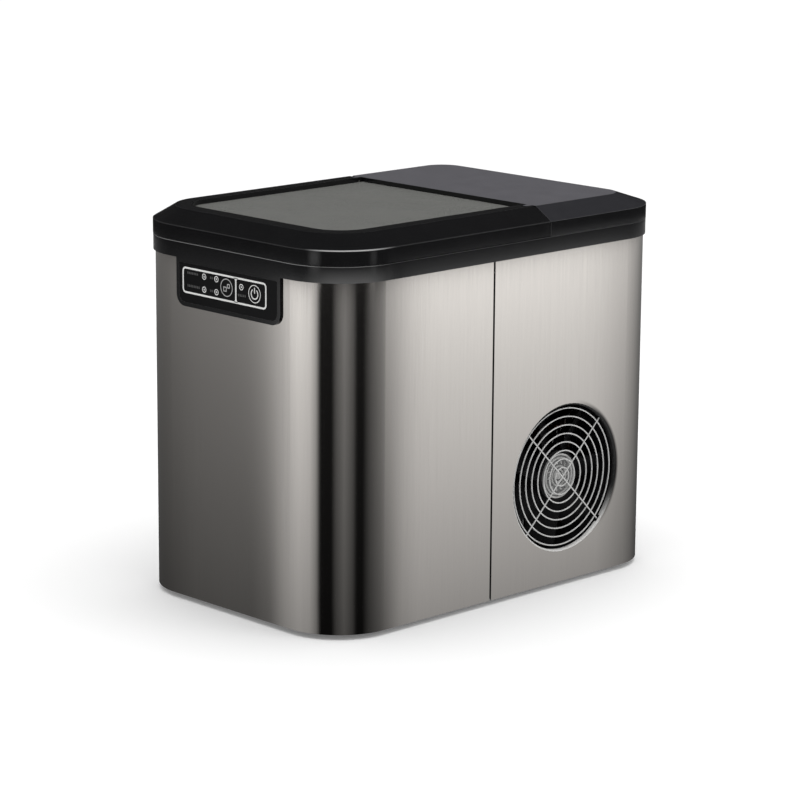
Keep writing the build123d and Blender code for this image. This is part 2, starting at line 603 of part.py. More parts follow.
def foam_jacket():
    foam = slab(plan(HALF_W - FOAM_INSET, FRONT_Y + FOAM_INSET, UPPER_BAY_FRONT,
                     FRONT_CORNER_R - FOAM_INSET, 0), BASE_FLOOR + 0.3, FOAM_TOP)
    foam -= block(-FAR, FAR, BAY_FRONT, FAR, -FAR, BAY_CEILING)
    foam -= slab(tub_plan(LINER_WALL + FIT, LINER_STEP), LINER_FLOOR_Z - LINER_WALL - FIT, FAR)
    foam -= slab(tub_plan(LINER_WALL + FIT, LINER_REAR), SHELF_Z - LINER_WALL - FIT, FAR)
    foam -= block(-TONGUE_HALF, TONGUE_HALF, FRONT_Y, PLATE_BACK + POCKET_DEPTH + 1.0,
                  SHELL_TOP - TONGUE_DROP, FAR)
    foam -= rod_x(-HALF_W, -LINER_HALF, DRAIN_Y, DRAIN_Z, DRAIN_CUP_R + FIT)
    for x in TUBE_EXITS:
        foam -= rod_y(x, LINER_REAR, UPPER_BAY_FRONT + 1, EVAPORATOR_Z, EVAPORATOR_R + FIT)
    foam -= [rod_z(x, y, BASE_Z, BASE_FLOOR + 3.0, FOOT_STEM_R + 1.0) for x, y in FOOT_PLACES]
    return foam


def basket_plan(inset):
    return plan(BASKET_HALF - inset, BASKET_FRONT + inset, BASKET_REAR - inset,
                LINER_FRONT_R - BASKET_FRONT_GAP - inset, 8.0 - inset)


def ice_basket():
    top = BASKET_Z + BASKET_HEIGHT
    basket = slab(basket_plan(0), BASKET_Z, top)
    basket -= slab(basket_plan(BASKET_WALL), BASKET_Z + BASKET_WALL, top + 1)
    rim = slab(plan(BASKET_HALF + 3.0, BASKET_FRONT - 3.0, BASKET_REAR,
                    LINER_FRONT_R - BASKET_FRONT_GAP + 3.0, 8.0) - basket_plan(BASKET_WALL),
               top - 2.5, top)
    basket += rim
    depth = BASKET_REAR - BASKET_FRONT
    middle = (BASKET_REAR + BASKET_FRONT) / 2
    slots = [block(x - 1.8, x + 1.8, middle - 0.34 * depth, middle + 0.34 * depth,
                   BASKET_Z - 1, BASKET_Z + BASKET_WALL + 1)
             for x in spread(BASKET_HALF - 10.0, BASKET_SLOT_PITCH)]
    for x in (-36.0, 36.0):
        grip = Pos(x, top - 16.0) * SlotOverall(28, 12)
        slots.append(along_y(grip, BASKET_REAR - BASKET_WALL - 1, BASKET_REAR + 1))
    return basket - slots


SENSOR_T = 4.5


def ice_sensors():
    y = (BASKET_FRONT + BASKET_REAR) / 2
    z = BASKET_Z + BASKET_HEIGHT + 17.0
    eye = block(LINER_HALF - SENSOR_T, LINER_HALF, y - 8.0, y + 8.0, z - 8.0, z + 8.0)
    eye += rod_x(LINER_HALF - SENSOR_T - 0.5, LINER_HALF - 1, y, z, 3.0)
    return both_sides(eye)


def level_probe():
    x = -PUMP_X
    y = LINER_STEP - 5.5
    probe = block(x - 14, x + 14, LINER_STEP - 11.0, LINER_STEP, LEDGE_Z - 14, LEDGE_Z - 2)
    probe += rod_z(x - 8, y, LINER_FLOOR_Z + 18, LEDGE_Z - 13, 1.3)
    return probe + rod_z(x + 8, y, LINER_FLOOR_Z + 62, LEDGE_Z - 13, 1.3)


def water_pump():
    top = LINER_FLOOR_Z + 42.0
    pump = rod_z(PUMP_X, PUMP_Y, LINER_FLOOR_Z, top, PUMP_R)
    pump = fillet(pump.edges().group_by(Axis.Z)[-1], 3.0)
    return pump + rod_z(PUMP_X, PUMP_Y, top - 1, top + 8.0, HOSE_R - 1.0)


def fill_hose():
    start = LINER_FLOOR_Z + 44.0
    height = PIVOT_Z + 11.0
    y = PUMP_Y + 10.0
    route = [(PUMP_X, PUMP_Y, start), (PUMP_X, PUMP_Y, start + 30.0), (HOSE_X, y, start + 46.0),
             (HOSE_X, y, height), (TRAY_HALF - 5.0, y, height)]
    hose = bent_tube(route, 8.0, HOSE_R)
    return hose - rod_z(PUMP_X, PUMP_Y, start - 1, start + 6.1, HOSE_R - 1.0)


# --- Bullet maker ---------------------------------------------------------------------------------
def polar(radius, angle):
    """Point in front of and below the pivot: angle 0 is straight ahead, 90 straight down."""
    return (PIVOT_Y - radius * cos(radians(angle)), PIVOT_Z - radius * sin(radians(angle)))


def sector(r_inner, r_outer, angle0, angle1):
    """Curved strip about the tray's pivot, drawn as (Y, Z)."""
    middle = (angle0 + angle1) / 2
    edge = [ThreePointArc(polar(r_inner, angle0), polar(r_inner, middle), polar(r_inner, angle1)),
            Line(polar(r_inner, angle1), polar(r_outer, angle1)),
            ThreePointArc(polar(r_outer, angle1), polar(r_outer, middle), polar(r_outer, angle0)),
            Line(polar(r_outer, angle0), polar(r_inner, angle0))]
    return make_face(Curve() + edge)


def tray_profile(grow):
    y0 = PIVOT_Y - TRAY_FRONT - grow
    y1 = PIVOT_Y - TRAY_BACK + grow
    z0 = PIVOT_Z - TRAY_DEPTH - grow
    z1 = PIVOT_Z + TRAY_RIM
    flat = Pos((y0 + y1) / 2, (z0 + z1) / 2) * Rectangle(y1 - y0, z1 - z0)
    return fillet(flat.vertices().group_by(Axis.Y)[0], 10.0 + grow)


def water_tray():
    half = TRAY_HALF + TRAY_WALL
    tray = along_x(tray_profile(TRAY_WALL), -half, half)
    tray -= along_x(tray_profile(0), -TRAY_HALF, TRAY_HALF)
    tray -= block(-TRAY_HALF, TRAY_HALF, PIVOT_Y - TRAY_FRONT, PIVOT_Y - TRAY_BACK, PIVOT_Z, FAR)
    ear = rounded(PIVOT_Y - 14.0, PIVOT_Y + 6.5, PIVOT_Z - 7.0, PIVOT_Z + TRAY_RIM, 4.0)
    tray += both_sides(along_x(ear, TRAY_HALF, half + 0.8))
    return tray - rod_x(-half - 2, half + 2, PIVOT_Y, PIVOT_Z, SHAFT_R)


def tray_shafts():
    return both_sides(rod_x(TRAY_HALF - 2.0, LINER_HALF - 6.0, PIVOT_Y, PIVOT_Z, SHAFT_R))


ARM_X = TRAY_HALF + TRAY_WALL + 2.0


def ice_shovel():
    tip = polar(BLADE_OUTER - 1.0, BLADE_ANGLE)
    arm = along_x(make_face(Polyline((PIVOT_Y, PIVOT_Z + 6.0), (tip[0] + 2.0, tip[1] + 6.0), tip,
                                     (PIVOT_Y, PIVOT_Z - 7.0), close=True)), ARM_X, ARM_X + ARM_T)
    arm += rod_x(ARM_X, ARM_X + ARM_T, PIVOT_Y, PIVOT_Z, 7.0)
    blade = along_x(sector(BLADE_INNER, BLADE_OUTER, BLADE_ANGLE, BLADE_ANGLE + 2.5),
                    -ARM_X - ARM_T, ARM_X + ARM_T)
    shovel = both_sides(arm) + blade
    tooth_gap = sector(BLADE_OUTER - 3.0, BLADE_OUTER + 3.0, BLADE_ANGLE - 1, BLADE_ANGLE + 3.5)
    shovel -= [along_x(tooth_gap, x - 1.5, x + 1.5) for x in spread(ARM_X - 8.0, TOOTH_PITCH)]
    return shovel - rod_x(-FAR, FAR, PIVOT_Y, PIVOT_Z, SHAFT_R + RUNNING)


def wedge(angle0, angle1):
    """Everything about the tray's pivot between two angles, drawn as (Y, Z)."""
    middle = (angle0 + angle1) / 2
    corners = [polar(0, 0)] + [polar(150.0, angle) for angle in (angle0, middle, angle1)]
    return make_face(Polyline(*corners, close=True))


def ice_slide():
    """Curved chute under the shovel, with drip slots and a thicker cheek at each end."""
    half = ARM_X + ARM_T + 0.5
    slide = rod_x(-half, half, PIVOT_Y, PIVOT_Z, SLIDE_OUTER)
    slide += both_sides(rod_x(half, half + 2.0, PIVOT_Y, PIVOT_Z, SLIDE_OUTER + SLIDE_CLEAR))
    slide -= rod_x(-half - 3.0, half + 3.0, PIVOT_Y, PIVOT_Z, SLIDE_INNER)
    slide &= along_x(wedge(*SLIDE_ARC), -half - 3.0, half + 3.0)
    drip_slot = wedge(SLIDE_ARC[0] + 12, SLIDE_ARC[1] - 12)
    return slide - [along_x(drip_slot, x - 2.0, x + 2.0) for x in spread(half - 6.0, TOOTH_PITCH)]


MOTOR_R = 21.0
MOTOR_FACE = -(ARM_X + ARM_T + 4.5)


def tray_motor():
    body = rod_x(-LINER_HALF + 1.6, MOTOR_FACE, PIVOT_Y + 9.0, PIVOT_Z - 8.0, MOTOR_R)
    body += rod_x(MOTOR_FACE - 1, MOTOR_FACE + 3.0, PIVOT_Y, PIVOT_Z, 6.0)
    return body - rod_x(-LINER_HALF + 5.0, FAR, PIVOT_Y, PIVOT_Z, SHAFT_R + RUNNING)


def motor_bracket():
    return block(-LINER_HALF, -LINER_HALF + 1.6, PIVOT_Y - 20.0, LINER_REAR - LINER_REAR_R,
                 PIVOT_Z - 34.0, PIVOT_Z + 16.0)


def pivot_bush():
    bush = rod_x(ARM_X + ARM_T + 0.5, LINER_HALF, PIVOT_Y, PIVOT_Z, 6.5)
    bush += rod_x(LINER_HALF - 3.0, LINER_HALF, PIVOT_Y, PIVOT_Z, 12.0)
    return bush - rod_x(0, LINER_HALF - 5.0, PIVOT_Y, PIVOT_Z, SHAFT_R + RUNNING)


EVAPORATOR_OUTLET = UPPER_BAY_FRONT + 6.0


def evaporator_tube():
    rear_row = PIVOT_Y - FINGER_ROWS[0]
    front_row = PIVOT_Y - FINGER_ROWS[1]
    left = -2.5 * FINGER_PITCH
    end = EVAPORATOR_OUTLET
    z = EVAPORATOR_Z
    route = [(TUBE_EXITS[0], end, z), (TUBE_EXITS[0], front_row, z), (left, front_row, z),
             (left, rear_row, z), (TUBE_EXITS[1], rear_row, z), (TUBE_EXITS[1], end, z)]
    return bent_tube(route, 9.0, EVAPORATOR_R)


def evaporator_fingers():
    tip = PIVOT_Z - FINGER_REACH
    fingers = []
    for row, places in zip(FINGER_ROWS, ((-1.5, -0.5, 0.5, 1.5), (-2, -1, 0, 1, 2))):
        y = PIVOT_Y - row
        for step in places:
            x = step * FINGER_PITCH
            finger = rod_z(x, y, tip + FINGER_R, EVAPORATOR_Z, FINGER_R)
            finger += Pos(x, y, tip + FINGER_R) * Sphere(FINGER_R)
            fingers.append(finger - rod_x(-FAR, FAR, y, EVAPORATOR_Z, EVAPORATOR_R))
    return Part() + fingers


def evaporator_holder():
    y0 = PIVOT_Y - FINGER_ROWS[1] - 11.0
    y1 = PIVOT_Y - FINGER_ROWS[0] + 11.0
    top = EVAPORATOR_Z + HOLDER_RISE
    holder = block(-LINER_HALF + 0.3, LINER_HALF - 0.3, y0, y1, EVAPORATOR_Z + 1.0, top)
    holder -= block(-LINER_HALF + 14, LINER_HALF - 34, y0 + 8, y1 - 8, EVAPORATOR_Z, top - 3.0)
    return holder - evaporator_tube()


def evaporator_cover():
    y0 = PIVOT_Y - FINGER_ROWS[1] - 15.0
    low = EVAPORATOR_Z + HOLDER_RISE
    cover = slab(plan(LINER_HALF - 0.5, y0, LINER_REAR - 0.5, 0, LINER_REAR_R - 0.5), low, low + 2.0)
    return cover + block(-LINER_HALF + 0.5, LINER_HALF - 0.5, y0, y0 + 2.0, low - 10.0, low)


# --- Fan, guard and condenser ---------------------------------------------------------------------
FAN_CORNERS = [(FAN_Y + sy * FAN_HOLE_PITCH / 2, FAN_Z + sz * FAN_HOLE_PITCH / 2)
               for sy in (-1, 1) for sz in (-1, 1)]
MOTOR_HUB_R = 19.0


def fan_frame():
    flat = rounded(FAN_Y - FAN_SIZE / 2, FAN_Y + FAN_SIZE / 2,
                   FAN_Z - FAN_SIZE / 2, FAN_Z + FAN_SIZE / 2, 7.0)
    frame = along_x(flat, FAN_BACK, FAN_FACE)
    frame -= rod_x(FAN_BACK - 1, FAN_FACE + 1, FAN_Y, FAN_Z, FAN_BORE_R)
    waist = along_x(flat, FAN_BACK + 5, FAN_FACE - 5)
    waist -= rod_x(FAN_BACK, FAN_FACE, FAN_Y, FAN_Z, FAN_BORE_R + 2.5)
    frame -= waist
    strut = Pos(0, (MOTOR_HUB_R + FAN_BORE_R) / 2, 0) * Box(3.0, FAN_BORE_R - MOTOR_HUB_R + 3.0, 4.0)
    for turn in (45, 135, 225, 315):
        frame += Pos(FAN_BACK + 1.5, FAN_Y, FAN_Z) * Rot(turn, 0, 0) * strut
    frame += rod_x(FAN_BACK, FAN_BACK + 3.0, FAN_Y, FAN_Z, MOTOR_HUB_R)
    frame -= rod_x(FAN_BACK - 1, FAN_FACE, FAN_Y, FAN_Z, 6.0)
    return frame - [rod_x(FAN_BACK - 1, FAN_FACE + 1, y, z, 2.15) for y, z in FAN_CORNERS]


def fan_motor():
    motor = rod_x(FAN_BACK + 3.0, FAN_BACK + 13.0, FAN_Y, FAN_Z, 15.0)
    motor += rod_x(FAN_BACK, FAN_BACK + 5.0, FAN_Y, FAN_Z, 6.0)
    return motor - rod_x(FAN_BACK + 1.0, FAN_FACE, FAN_Y, FAN_Z, 1.5 + RUNNING)


def fan_rotor():
    hub = rod_x(FAN_BACK + 4.0, HUB_FACE, FAN_Y, FAN_Z, MOTOR_HUB_R + 1.0)
    hub -= rod_x(FAN_BACK + 3.0, FAN_BACK + 14.5, FAN_Y, FAN_Z, 16.5)
    hub += rod_x(FAN_BACK + 2.0, HUB_FACE - 1.0, FAN_Y, FAN_Z, 1.5)
    length = FAN_BORE_R - MOTOR_HUB_R - 2.5
    blades = []
    for step in range(7):
        blade = Pos(0, MOTOR_HUB_R + length / 2, 0) * Rot(0, 38, 0) * Box(2.0, length, 25.0)
        blades.append(Pos((FAN_BACK + FAN_FACE) / 2, FAN_Y, FAN_Z) * Rot(step * 360 / 7, 0, 0) * blade)
    swept = rod_x(FAN_BACK + 4.0, HUB_FACE, FAN_Y, FAN_Z, FAN_BORE_R - 1.5)
    swept -= rod_x(FAN_BACK, FAN_FACE, FAN_Y, FAN_Z, MOTOR_HUB_R)
    return hub + [blade & swept for blade in blades]


def fan_guard():
    x = HALF_W - GUARD_DEPTH
    guard = Part()
    ring_place = Pos(x, FAN_Y, FAN_Z) * Rot(0, 90, 0)
    for step in range(GUARD_RINGS):
        guard += ring_place * Torus(GUARD_OUTER_R - step * GUARD_PITCH, GUARD_WIRE_R)
    reach = FAN_HOLE_PITCH / sqrt(2)
    for turn in (45, 135, 225, 315):
        place = Pos(x + 0.8 * GUARD_WIRE_R, FAN_Y, FAN_Z) * Rot(turn, 0, 0)
        guard += place * rod_y(0, 0, reach - 2.5, 0, GUARD_WIRE_R)
        guard += place * Pos(-0.8 * GUARD_WIRE_R, reach, 0) * Rot(0, 90, 0) * Torus(3.0, GUARD_WIRE_R)
    return guard


def hub_badge():
    """Disc bonded to the rotor's hub, with a raised rim, a raised ring and a raised middle."""
    face = HUB_FACE + BADGE_T
    badge = rod_x(HUB_FACE, face, FAN_Y, FAN_Z, BADGE_R)
    for outer, inner in ((BADGE_R - 1.4, BADGE_R - 3.6), (BADGE_R - 5.2, 5.0)):
        groove = rod_x(face - 0.5, face + 1, FAN_Y, FAN_Z, outer)
        badge -= groove - rod_x(face - 1, face + 2, FAN_Y, FAN_Z, inner)
    return badge


def fan_screws():
    screws = []
    for y, z in FAN_CORNERS:
        screw = rod_x(FAN_BACK, HALF_W - GUARD_DEPTH + 1.0, y, z, 1.9)
        screws.append(screw + rod_x(FAN_BACK - 2.5, FAN_BACK, y, z, 3.8))
    return Part() + screws


CONDENSER_X1 = FAN_BACK - 4.0
CONDENSER_X0 = CONDENSER_X1 - CONDENSER_T


COIL_ROWS = 6
COIL_EDGE = 8.0             # tube centres in from the fin edges
COIL_Z = [FAN_Z - CONDENSER_HALF + COIL_EDGE + row * 2 * (CONDENSER_HALF - COIL_EDGE) / (COIL_ROWS - 1)
          for row in range(COIL_ROWS)]
COIL_X = (CONDENSER_X0 + COIL_EDGE, CONDENSER_X1 - COIL_EDGE)
COIL_BEND = 6.0
COIL_REACH = CONDENSER_HALF + 5.0
COIL_END_Y = FAN_Y + COIL_REACH + 6.0
COIL_HOLES = [(x, z) for x in COIL_X for z in COIL_Z]


def condenser_coil():
    """One serpentine: up through the inner column of fin holes and down through the outer one."""
    near = FAN_Y + COIL_REACH
    far = FAN_Y - COIL_REACH
    route = [(COIL_X[0], COIL_END_Y, COIL_Z[0])]
    for row, z in enumerate(COIL_Z[:-1]):
        y = near if row % 2 else far
        route += [(COIL_X[0], y, z), (COIL_X[0], y, COIL_Z[row + 1])]
    route += [(COIL_X[0], near, COIL_Z[-1]), (COIL_X[1], near, COIL_Z[-1])]
    for row in range(COIL_ROWS - 1, 0, -1):
        y = far if row % 2 else near
        route += [(COIL_X[1], y, COIL_Z[row]), (COIL_X[1], y, COIL_Z[row - 1])]
    route.append((COIL_X[1], COIL_END_Y, COIL_Z[0]))
    return bent_tube(route, COIL_BEND, TUBE_R)


def condenser_fins():
    span = 2 * CONDENSER_HALF - 8.0
    fins = []
    low = FAN_Z - CONDENSER_HALF
    high = FAN_Z + CONDENSER_HALF
    coil_holes = [rod_y(x, FAN_Y - FAR, FAN_Y + FAR, z, TUBE_R) for x, z in COIL_HOLES]
    for step in range(FIN_COUNT):
        y = FAN_Y - span / 2 + step * span / (FIN_COUNT - 1)
        fin = block(CONDENSER_X0, CONDENSER_X1, y - FIN_T / 2, y + FIN_T / 2, low, high)
        fins.append(fin - coil_holes)
    return Part() + fins


def condenser_frame():
    """Two end plates folded from sheet, screwed down to the base."""
    plates = []
    for sy in (-1, 1):
        y = FAN_Y + sy * (CONDENSER_HALF - 1.5)
        plate = block(CONDENSER_X0 - 1, CONDENSER_X1 + 1, y - 0.6, y + 0.6, BASE_FLOOR,
                      FAN_Z + CONDENSER_HALF + 1)
        plate += block(CONDENSER_X0 - 1, CONDENSER_X1 + 1, min(y, y - sy * 12), max(y, y - sy * 12),
                       BASE_FLOOR, BASE_FLOOR + 1.2)
        plate -= [rod_y(x, y - 2, y + 2, z, TUBE_R) for x, z in COIL_HOLES]
        plates.append(plate)
    return Part() + plates


# --- Compressor and tubes -------------------------------------------------------------------------
PLATE_Z = GROMMET_TOP - 3.0
SHELL_Z = PLATE_Z + 2.0


def compressor_shell():
    top = SHELL_Z + COMPRESSOR_HEIGHT
    shell = rod_z(COMPRESSOR_X, COMPRESSOR_Y, SHELL_Z, top, COMPRESSOR_R)
    shell = fillet(shell.edges().group_by(Axis.Z)[-1], 22.0)
    shell = fillet(shell.edges().group_by(Axis.Z)[0], 12.0)
    core = rod_z(COMPRESSOR_X, COMPRESSOR_Y, SHELL_Z + COMPRESSOR_WALL, top - COMPRESSOR_WALL,
                 COMPRESSOR_R - COMPRESSOR_WALL)
    core = fillet(core.edges().group_by(Axis.Z)[-1], 18.0)
    core = fillet(core.edges().group_by(Axis.Z)[0], 9.0)
    shell -= core
    weld = rod_z(COMPRESSOR_X, COMPRESSOR_Y, SHELL_Z + 62, SHELL_Z + 66, COMPRESSOR_R + 1.5)
    weld -= rod_z(COMPRESSOR_X, COMPRESSOR_Y, SHELL_Z + 61, SHELL_Z + 67, COMPRESSOR_R - 1)
    half = COMPRESSOR_R + 2.0
    plate = block(COMPRESSOR_X - half, COMPRESSOR_X + half, COMPRESSOR_Y - half, COMPRESSOR_Y + half,
                  PLATE_Z, SHELL_Z)
    plate = fillet(plate.edges().filter_by(Axis.Z), 8.0)
    plate += rod_z(COMPRESSOR_X, COMPRESSOR_Y, PLATE_Z, SHELL_Z + COMPRESSOR_WALL, COMPRESSOR_R - 14)
    plate -= [rod_z(x, y, PLATE_Z - 1, SHELL_Z + 1, STUD_R + 2.2) for x, y in MOUNT_PLACES]
    return shell + weld + plate


def compressor_motor():
    low = SHELL_Z + COMPRESSOR_WALL
    motor = rod_z(COMPRESSOR_X, COMPRESSOR_Y, low, low + 70, 30.0)
    return motor + rod_z(COMPRESSOR_X, COMPRESSOR_Y, low + 70, low + 92, 16.0)


def compressor_grommets():
    rubbers = []
    for x, y in MOUNT_PLACES:
        rubber = rod_z(x, y, BASE_FLOOR, PLATE_Z, 8.0) + rod_z(x, y, PLATE_Z, SHELL_Z, STUD_R + 2.2)
        rubber += rod_z(x, y, SHELL_Z, SHELL_Z + 2.5, 7.0)
        rubbers.append(rubber - rod_z(x, y, BASE_Z, FAR, STUD_R))
    return Part() + rubbers


def compressor_nuts():
    nuts = []
    for x, y in MOUNT_PLACES:
        nut = extrude(Pos(x, y, SHELL_Z + 2.5) * RegularPolygon(4.6, 6), amount=3.5)
        nuts.append(nut - rod_z(x, y, 0, FAR, STUD_R))
    return Part() + nuts


DRIER_X = 30.0
DRIER_Y = COIL_END_Y + 9.2
DRIER_Z = 90.0
DRIER_R = 9.0
DRIER_LENGTH = 62.0
DRIER_CONE = 12.0
VALVE_X = -80.0
VALVE_Y = UPPER_BAY_FRONT + 22.0
VALVE_Z = 176.0


def filter_drier():
    body = rod_z(DRIER_X, DRIER_Y, DRIER_Z, DRIER_Z + DRIER_LENGTH, DRIER_R)
    end = Cone(DRIER_R, TUBE_R, DRIER_CONE, align=(Align.CENTER, Align.CENTER, Align.MIN))
    body += Pos(DRIER_X, DRIER_Y, DRIER_Z + DRIER_LENGTH) * end
    return body + Pos(DRIER_X, DRIER_Y, DRIER_Z) * Rot(180, 0, 0) * end


def hot_gas_valve():
    valve = block(VALVE_X - 13, VALVE_X + 13, VALVE_Y - 11, VALVE_Y + 11, VALVE_Z + 8, VALVE_Z + 40)
    valve = fillet(valve.edges().filter_by(Axis.Z), 3.0)
    valve += rod_z(VALVE_X, VALVE_Y, VALVE_Z, VALVE_Z + 46, 6.5)
    return valve + rod_x(VALVE_X - 12, VALVE_X + 12, VALVE_Y, VALVE_Z, 5.0)


SHELL_DOME = SHELL_Z + COMPRESSOR_HEIGHT
DISCHARGE_X = COMPRESSOR_X + 18.0
SUCTION_X = COMPRESSOR_X - 6.0
CAPILLARY_R = 1.6


def discharge_tube():
    """Hot gas, from the compressor's top down to the condenser's outer column."""
    low_z = SHELL_DOME + 14.0
    back = COIL_END_Y + 9.0
    route = [(DISCHARGE_X, COMPRESSOR_Y, SHELL_DOME), (DISCHARGE_X, COMPRESSOR_Y, low_z),
             (COIL_X[1], COMPRESSOR_Y, low_z), (COIL_X[1], back, low_z - 8.0),
             (COIL_X[1], back, COIL_Z[0]), (COIL_X[1], COIL_END_Y, COIL_Z[0])]
    return bent_tube(route, 4.5, TUBE_R - 0.2)


def liquid_tube():
    """Condensed liquid, from the condenser's inner column up to the filter drier."""
    route = [(COIL_X[0], COIL_END_Y, COIL_Z[0]), (COIL_X[0], DRIER_Y, COIL_Z[0]),
             (DRIER_X, DRIER_Y, COIL_Z[0] + 8.0), (DRIER_X, DRIER_Y, DRIER_Z - DRIER_CONE)]
    return bent_tube(route, 3.5, TUBE_R - 0.4)


def capillary_tube():
    """Thin tube from the drier up to the evaporator's inlet, with a slack bend."""
    x = TUBE_EXITS[0]
    route = [(DRIER_X, DRIER_Y, DRIER_Z + DRIER_LENGTH + DRIER_CONE),
             (DRIER_X, DRIER_Y, SHELL_DOME + 46),
             (x - 24, DRIER_Y + 8, SHELL_DOME + 52), (x, DRIER_Y - 24, SHELL_DOME + 80),
             (x, EVAPORATOR_OUTLET + 22, EVAPORATOR_Z), (x, EVAPORATOR_OUTLET, EVAPORATOR_Z)]
    return bent_tube(route, 10.0, CAPILLARY_R)


def suction_tube():
    """Cold gas, from the evaporator's outlet back to the compressor."""
    x = TUBE_EXITS[1]
    y = COMPRESSOR_Y + 12.0
    route = [(SUCTION_X, y, SHELL_DOME), (SUCTION_X, y, SHELL_DOME + 46),
             (SUCTION_X + 40, COMPRESSOR_Y, SHELL_DOME + 64),
             (x, EVAPORATOR_OUTLET + 34, SHELL_DOME + 72),
             (x, EVAPORATOR_OUTLET + 26, EVAPORATOR_Z), (x, EVAPORATOR_OUTLET, EVAPORATOR_Z)]
    return bent_tube(route, 9.0, TUBE_R)


PLATE_X = VALVE_X + 30.0
PLATE_WIDTH = 84.0
PLATE_LOW = SHELF_Z
PLATE_HIGH = FRAME_TOP - DECK - 24.5
MAIN_BOARD_Y = UPPER_BAY_FRONT + 8.0


def board_bracket():
    """Sheet plate on the insulation's rear face, with a standoff at each corner of the board."""
    front = UPPER_BAY_FRONT + 0.3
    plate = block(PLATE_X, PLATE_X + PLATE_WIDTH, front, front + 1.6, PLATE_LOW, PLATE_HIGH)
    for x in (PLATE_X + 6.0, PLATE_X + PLATE_WIDTH - 6.0):
        for z in (PLATE_LOW + 6.0, PLATE_HIGH - 6.0):
            plate += rod_y(x, front + 1.6, MAIN_BOARD_Y, z, 2.5)
    return plate


def main_board():
    """Circuit board with its transformer, relay, capacitor and a row of connectors."""
    y = MAIN_BOARD_Y
    face = y + BOARD_T
    board = block(PLATE_X + 1.0, PLATE_X + PLATE_WIDTH - 1.0, y, face, PLATE_LOW + 2.0, PLATE_HIGH - 2.0)
    board += block(PLATE_X + 8, PLATE_X + 34, face, y + 22, PLATE_HIGH - 38, PLATE_HIGH - 10)
    board += block(PLATE_X + 44, PLATE_X + 62, face, y + 17, PLATE_HIGH - 32, PLATE_HIGH - 14)
    board += rod_y(PLATE_X + 22, face, y + 18, PLATE_LOW + 28, 8.0)
    for x in (42, 51, 60, 69):
        board += block(PLATE_X + x, PLATE_X + x + 7, face, y + 11, PLATE_LOW + 8, PLATE_LOW + 18)
    return board


# --- Drain and power inlet ------------------------------------------------------------------------
CUP_BACK = -HALF_W + 15.0


def drain_bezel():
    cup = rod_x(-HALF_W - 1.4, -HALF_W - 0.05, DRAIN_Y, DRAIN_Z, DRAIN_CUP_R + 2.5)
    cup += rod_x(-HALF_W - 0.5, CUP_BACK, DRAIN_Y, DRAIN_Z, DRAIN_CUP_R)
    cup -= rod_x(-HALF_W - 2, CUP_BACK - 1.6, DRAIN_Y, DRAIN_Z, DRAIN_CUP_R - 1.6)
    return cup - rod_x(-HALF_W, CUP_BACK + 1, DRAIN_Y, DRAIN_Z, DRAIN_SPOUT_R)


def drain_spout():
    spout = rod_x(-HALF_W + 4.0, -LINER_HALF + 2.0, DRAIN_Y, DRAIN_Z, DRAIN_SPOUT_R)
    return spout - rod_x(-HALF_W, -LINER_HALF + 3.0, DRAIN_Y, DRAIN_Z, DRAIN_BORE_R)


def drain_plug():
    face = -HALF_W - 1.2
    cap = rod_x(face, -HALF_W + 12.0, DRAIN_Y, DRAIN_Z, 9.5)
    cap -= rod_x(-HALF_W + 3.5, -HALF_W + 13.0, DRAIN_Y, DRAIN_Z, DRAIN_SPOUT_R + 0.35)
    cap += rod_x(-HALF_W + 3.0, -HALF_W + 14.0, DRAIN_Y, DRAIN_Z, DRAIN_BORE_R - RUNNING)
    groove = rod_x(face - 1, -HALF_W + 13.0, 9.9, 0, 0.9)
    return cap - [Pos(0, DRAIN_Y, DRAIN_Z) * Rot(step * 30, 0, 0) * groove for step in range(12)]


def inlet_outline(grow, r):
    """The inlet's body seen from the rear, grown outward."""
    half_w = INLET_WIDTH / 2 + grow
    half_h = INLET_HEIGHT / 2 + grow
    return rounded(INLET_X - half_w, INLET_X + half_w, INLET_Z - half_h, INLET_Z + half_h, r)


def power_inlet():
    """Appliance inlet socket, with its flange on the rear face and its three blades inside."""
    body = along_y(inlet_outline(0, 3.0), REAR_Y - 24.0, REAR_Y + 0.1)
    body += along_y(inlet_outline(2.5, 4.0), REAR_Y + 0.05, REAR_Y + 1.6)
    body -= along_y(inlet_outline(-1.6, 2.5), REAR_Y - 17.0, REAR_Y + 2)
    for x, z in ((-7.0, -2.0), (0.0, 2.0), (7.0, -2.0)):
        body += block(INLET_X + x - 1.0, INLET_X + x + 1.0, REAR_Y - 18.0, REAR_Y - 6.0,
                      INLET_Z + z - 2.0, INLET_Z + z + 2.0)
        body += block(INLET_X + x - 1.0, INLET_X + x + 1.0, REAR_Y - 31.0, REAR_Y - 23.0,
                      INLET_Z + z - 2.0, INLET_Z + z + 2.0)
    return body


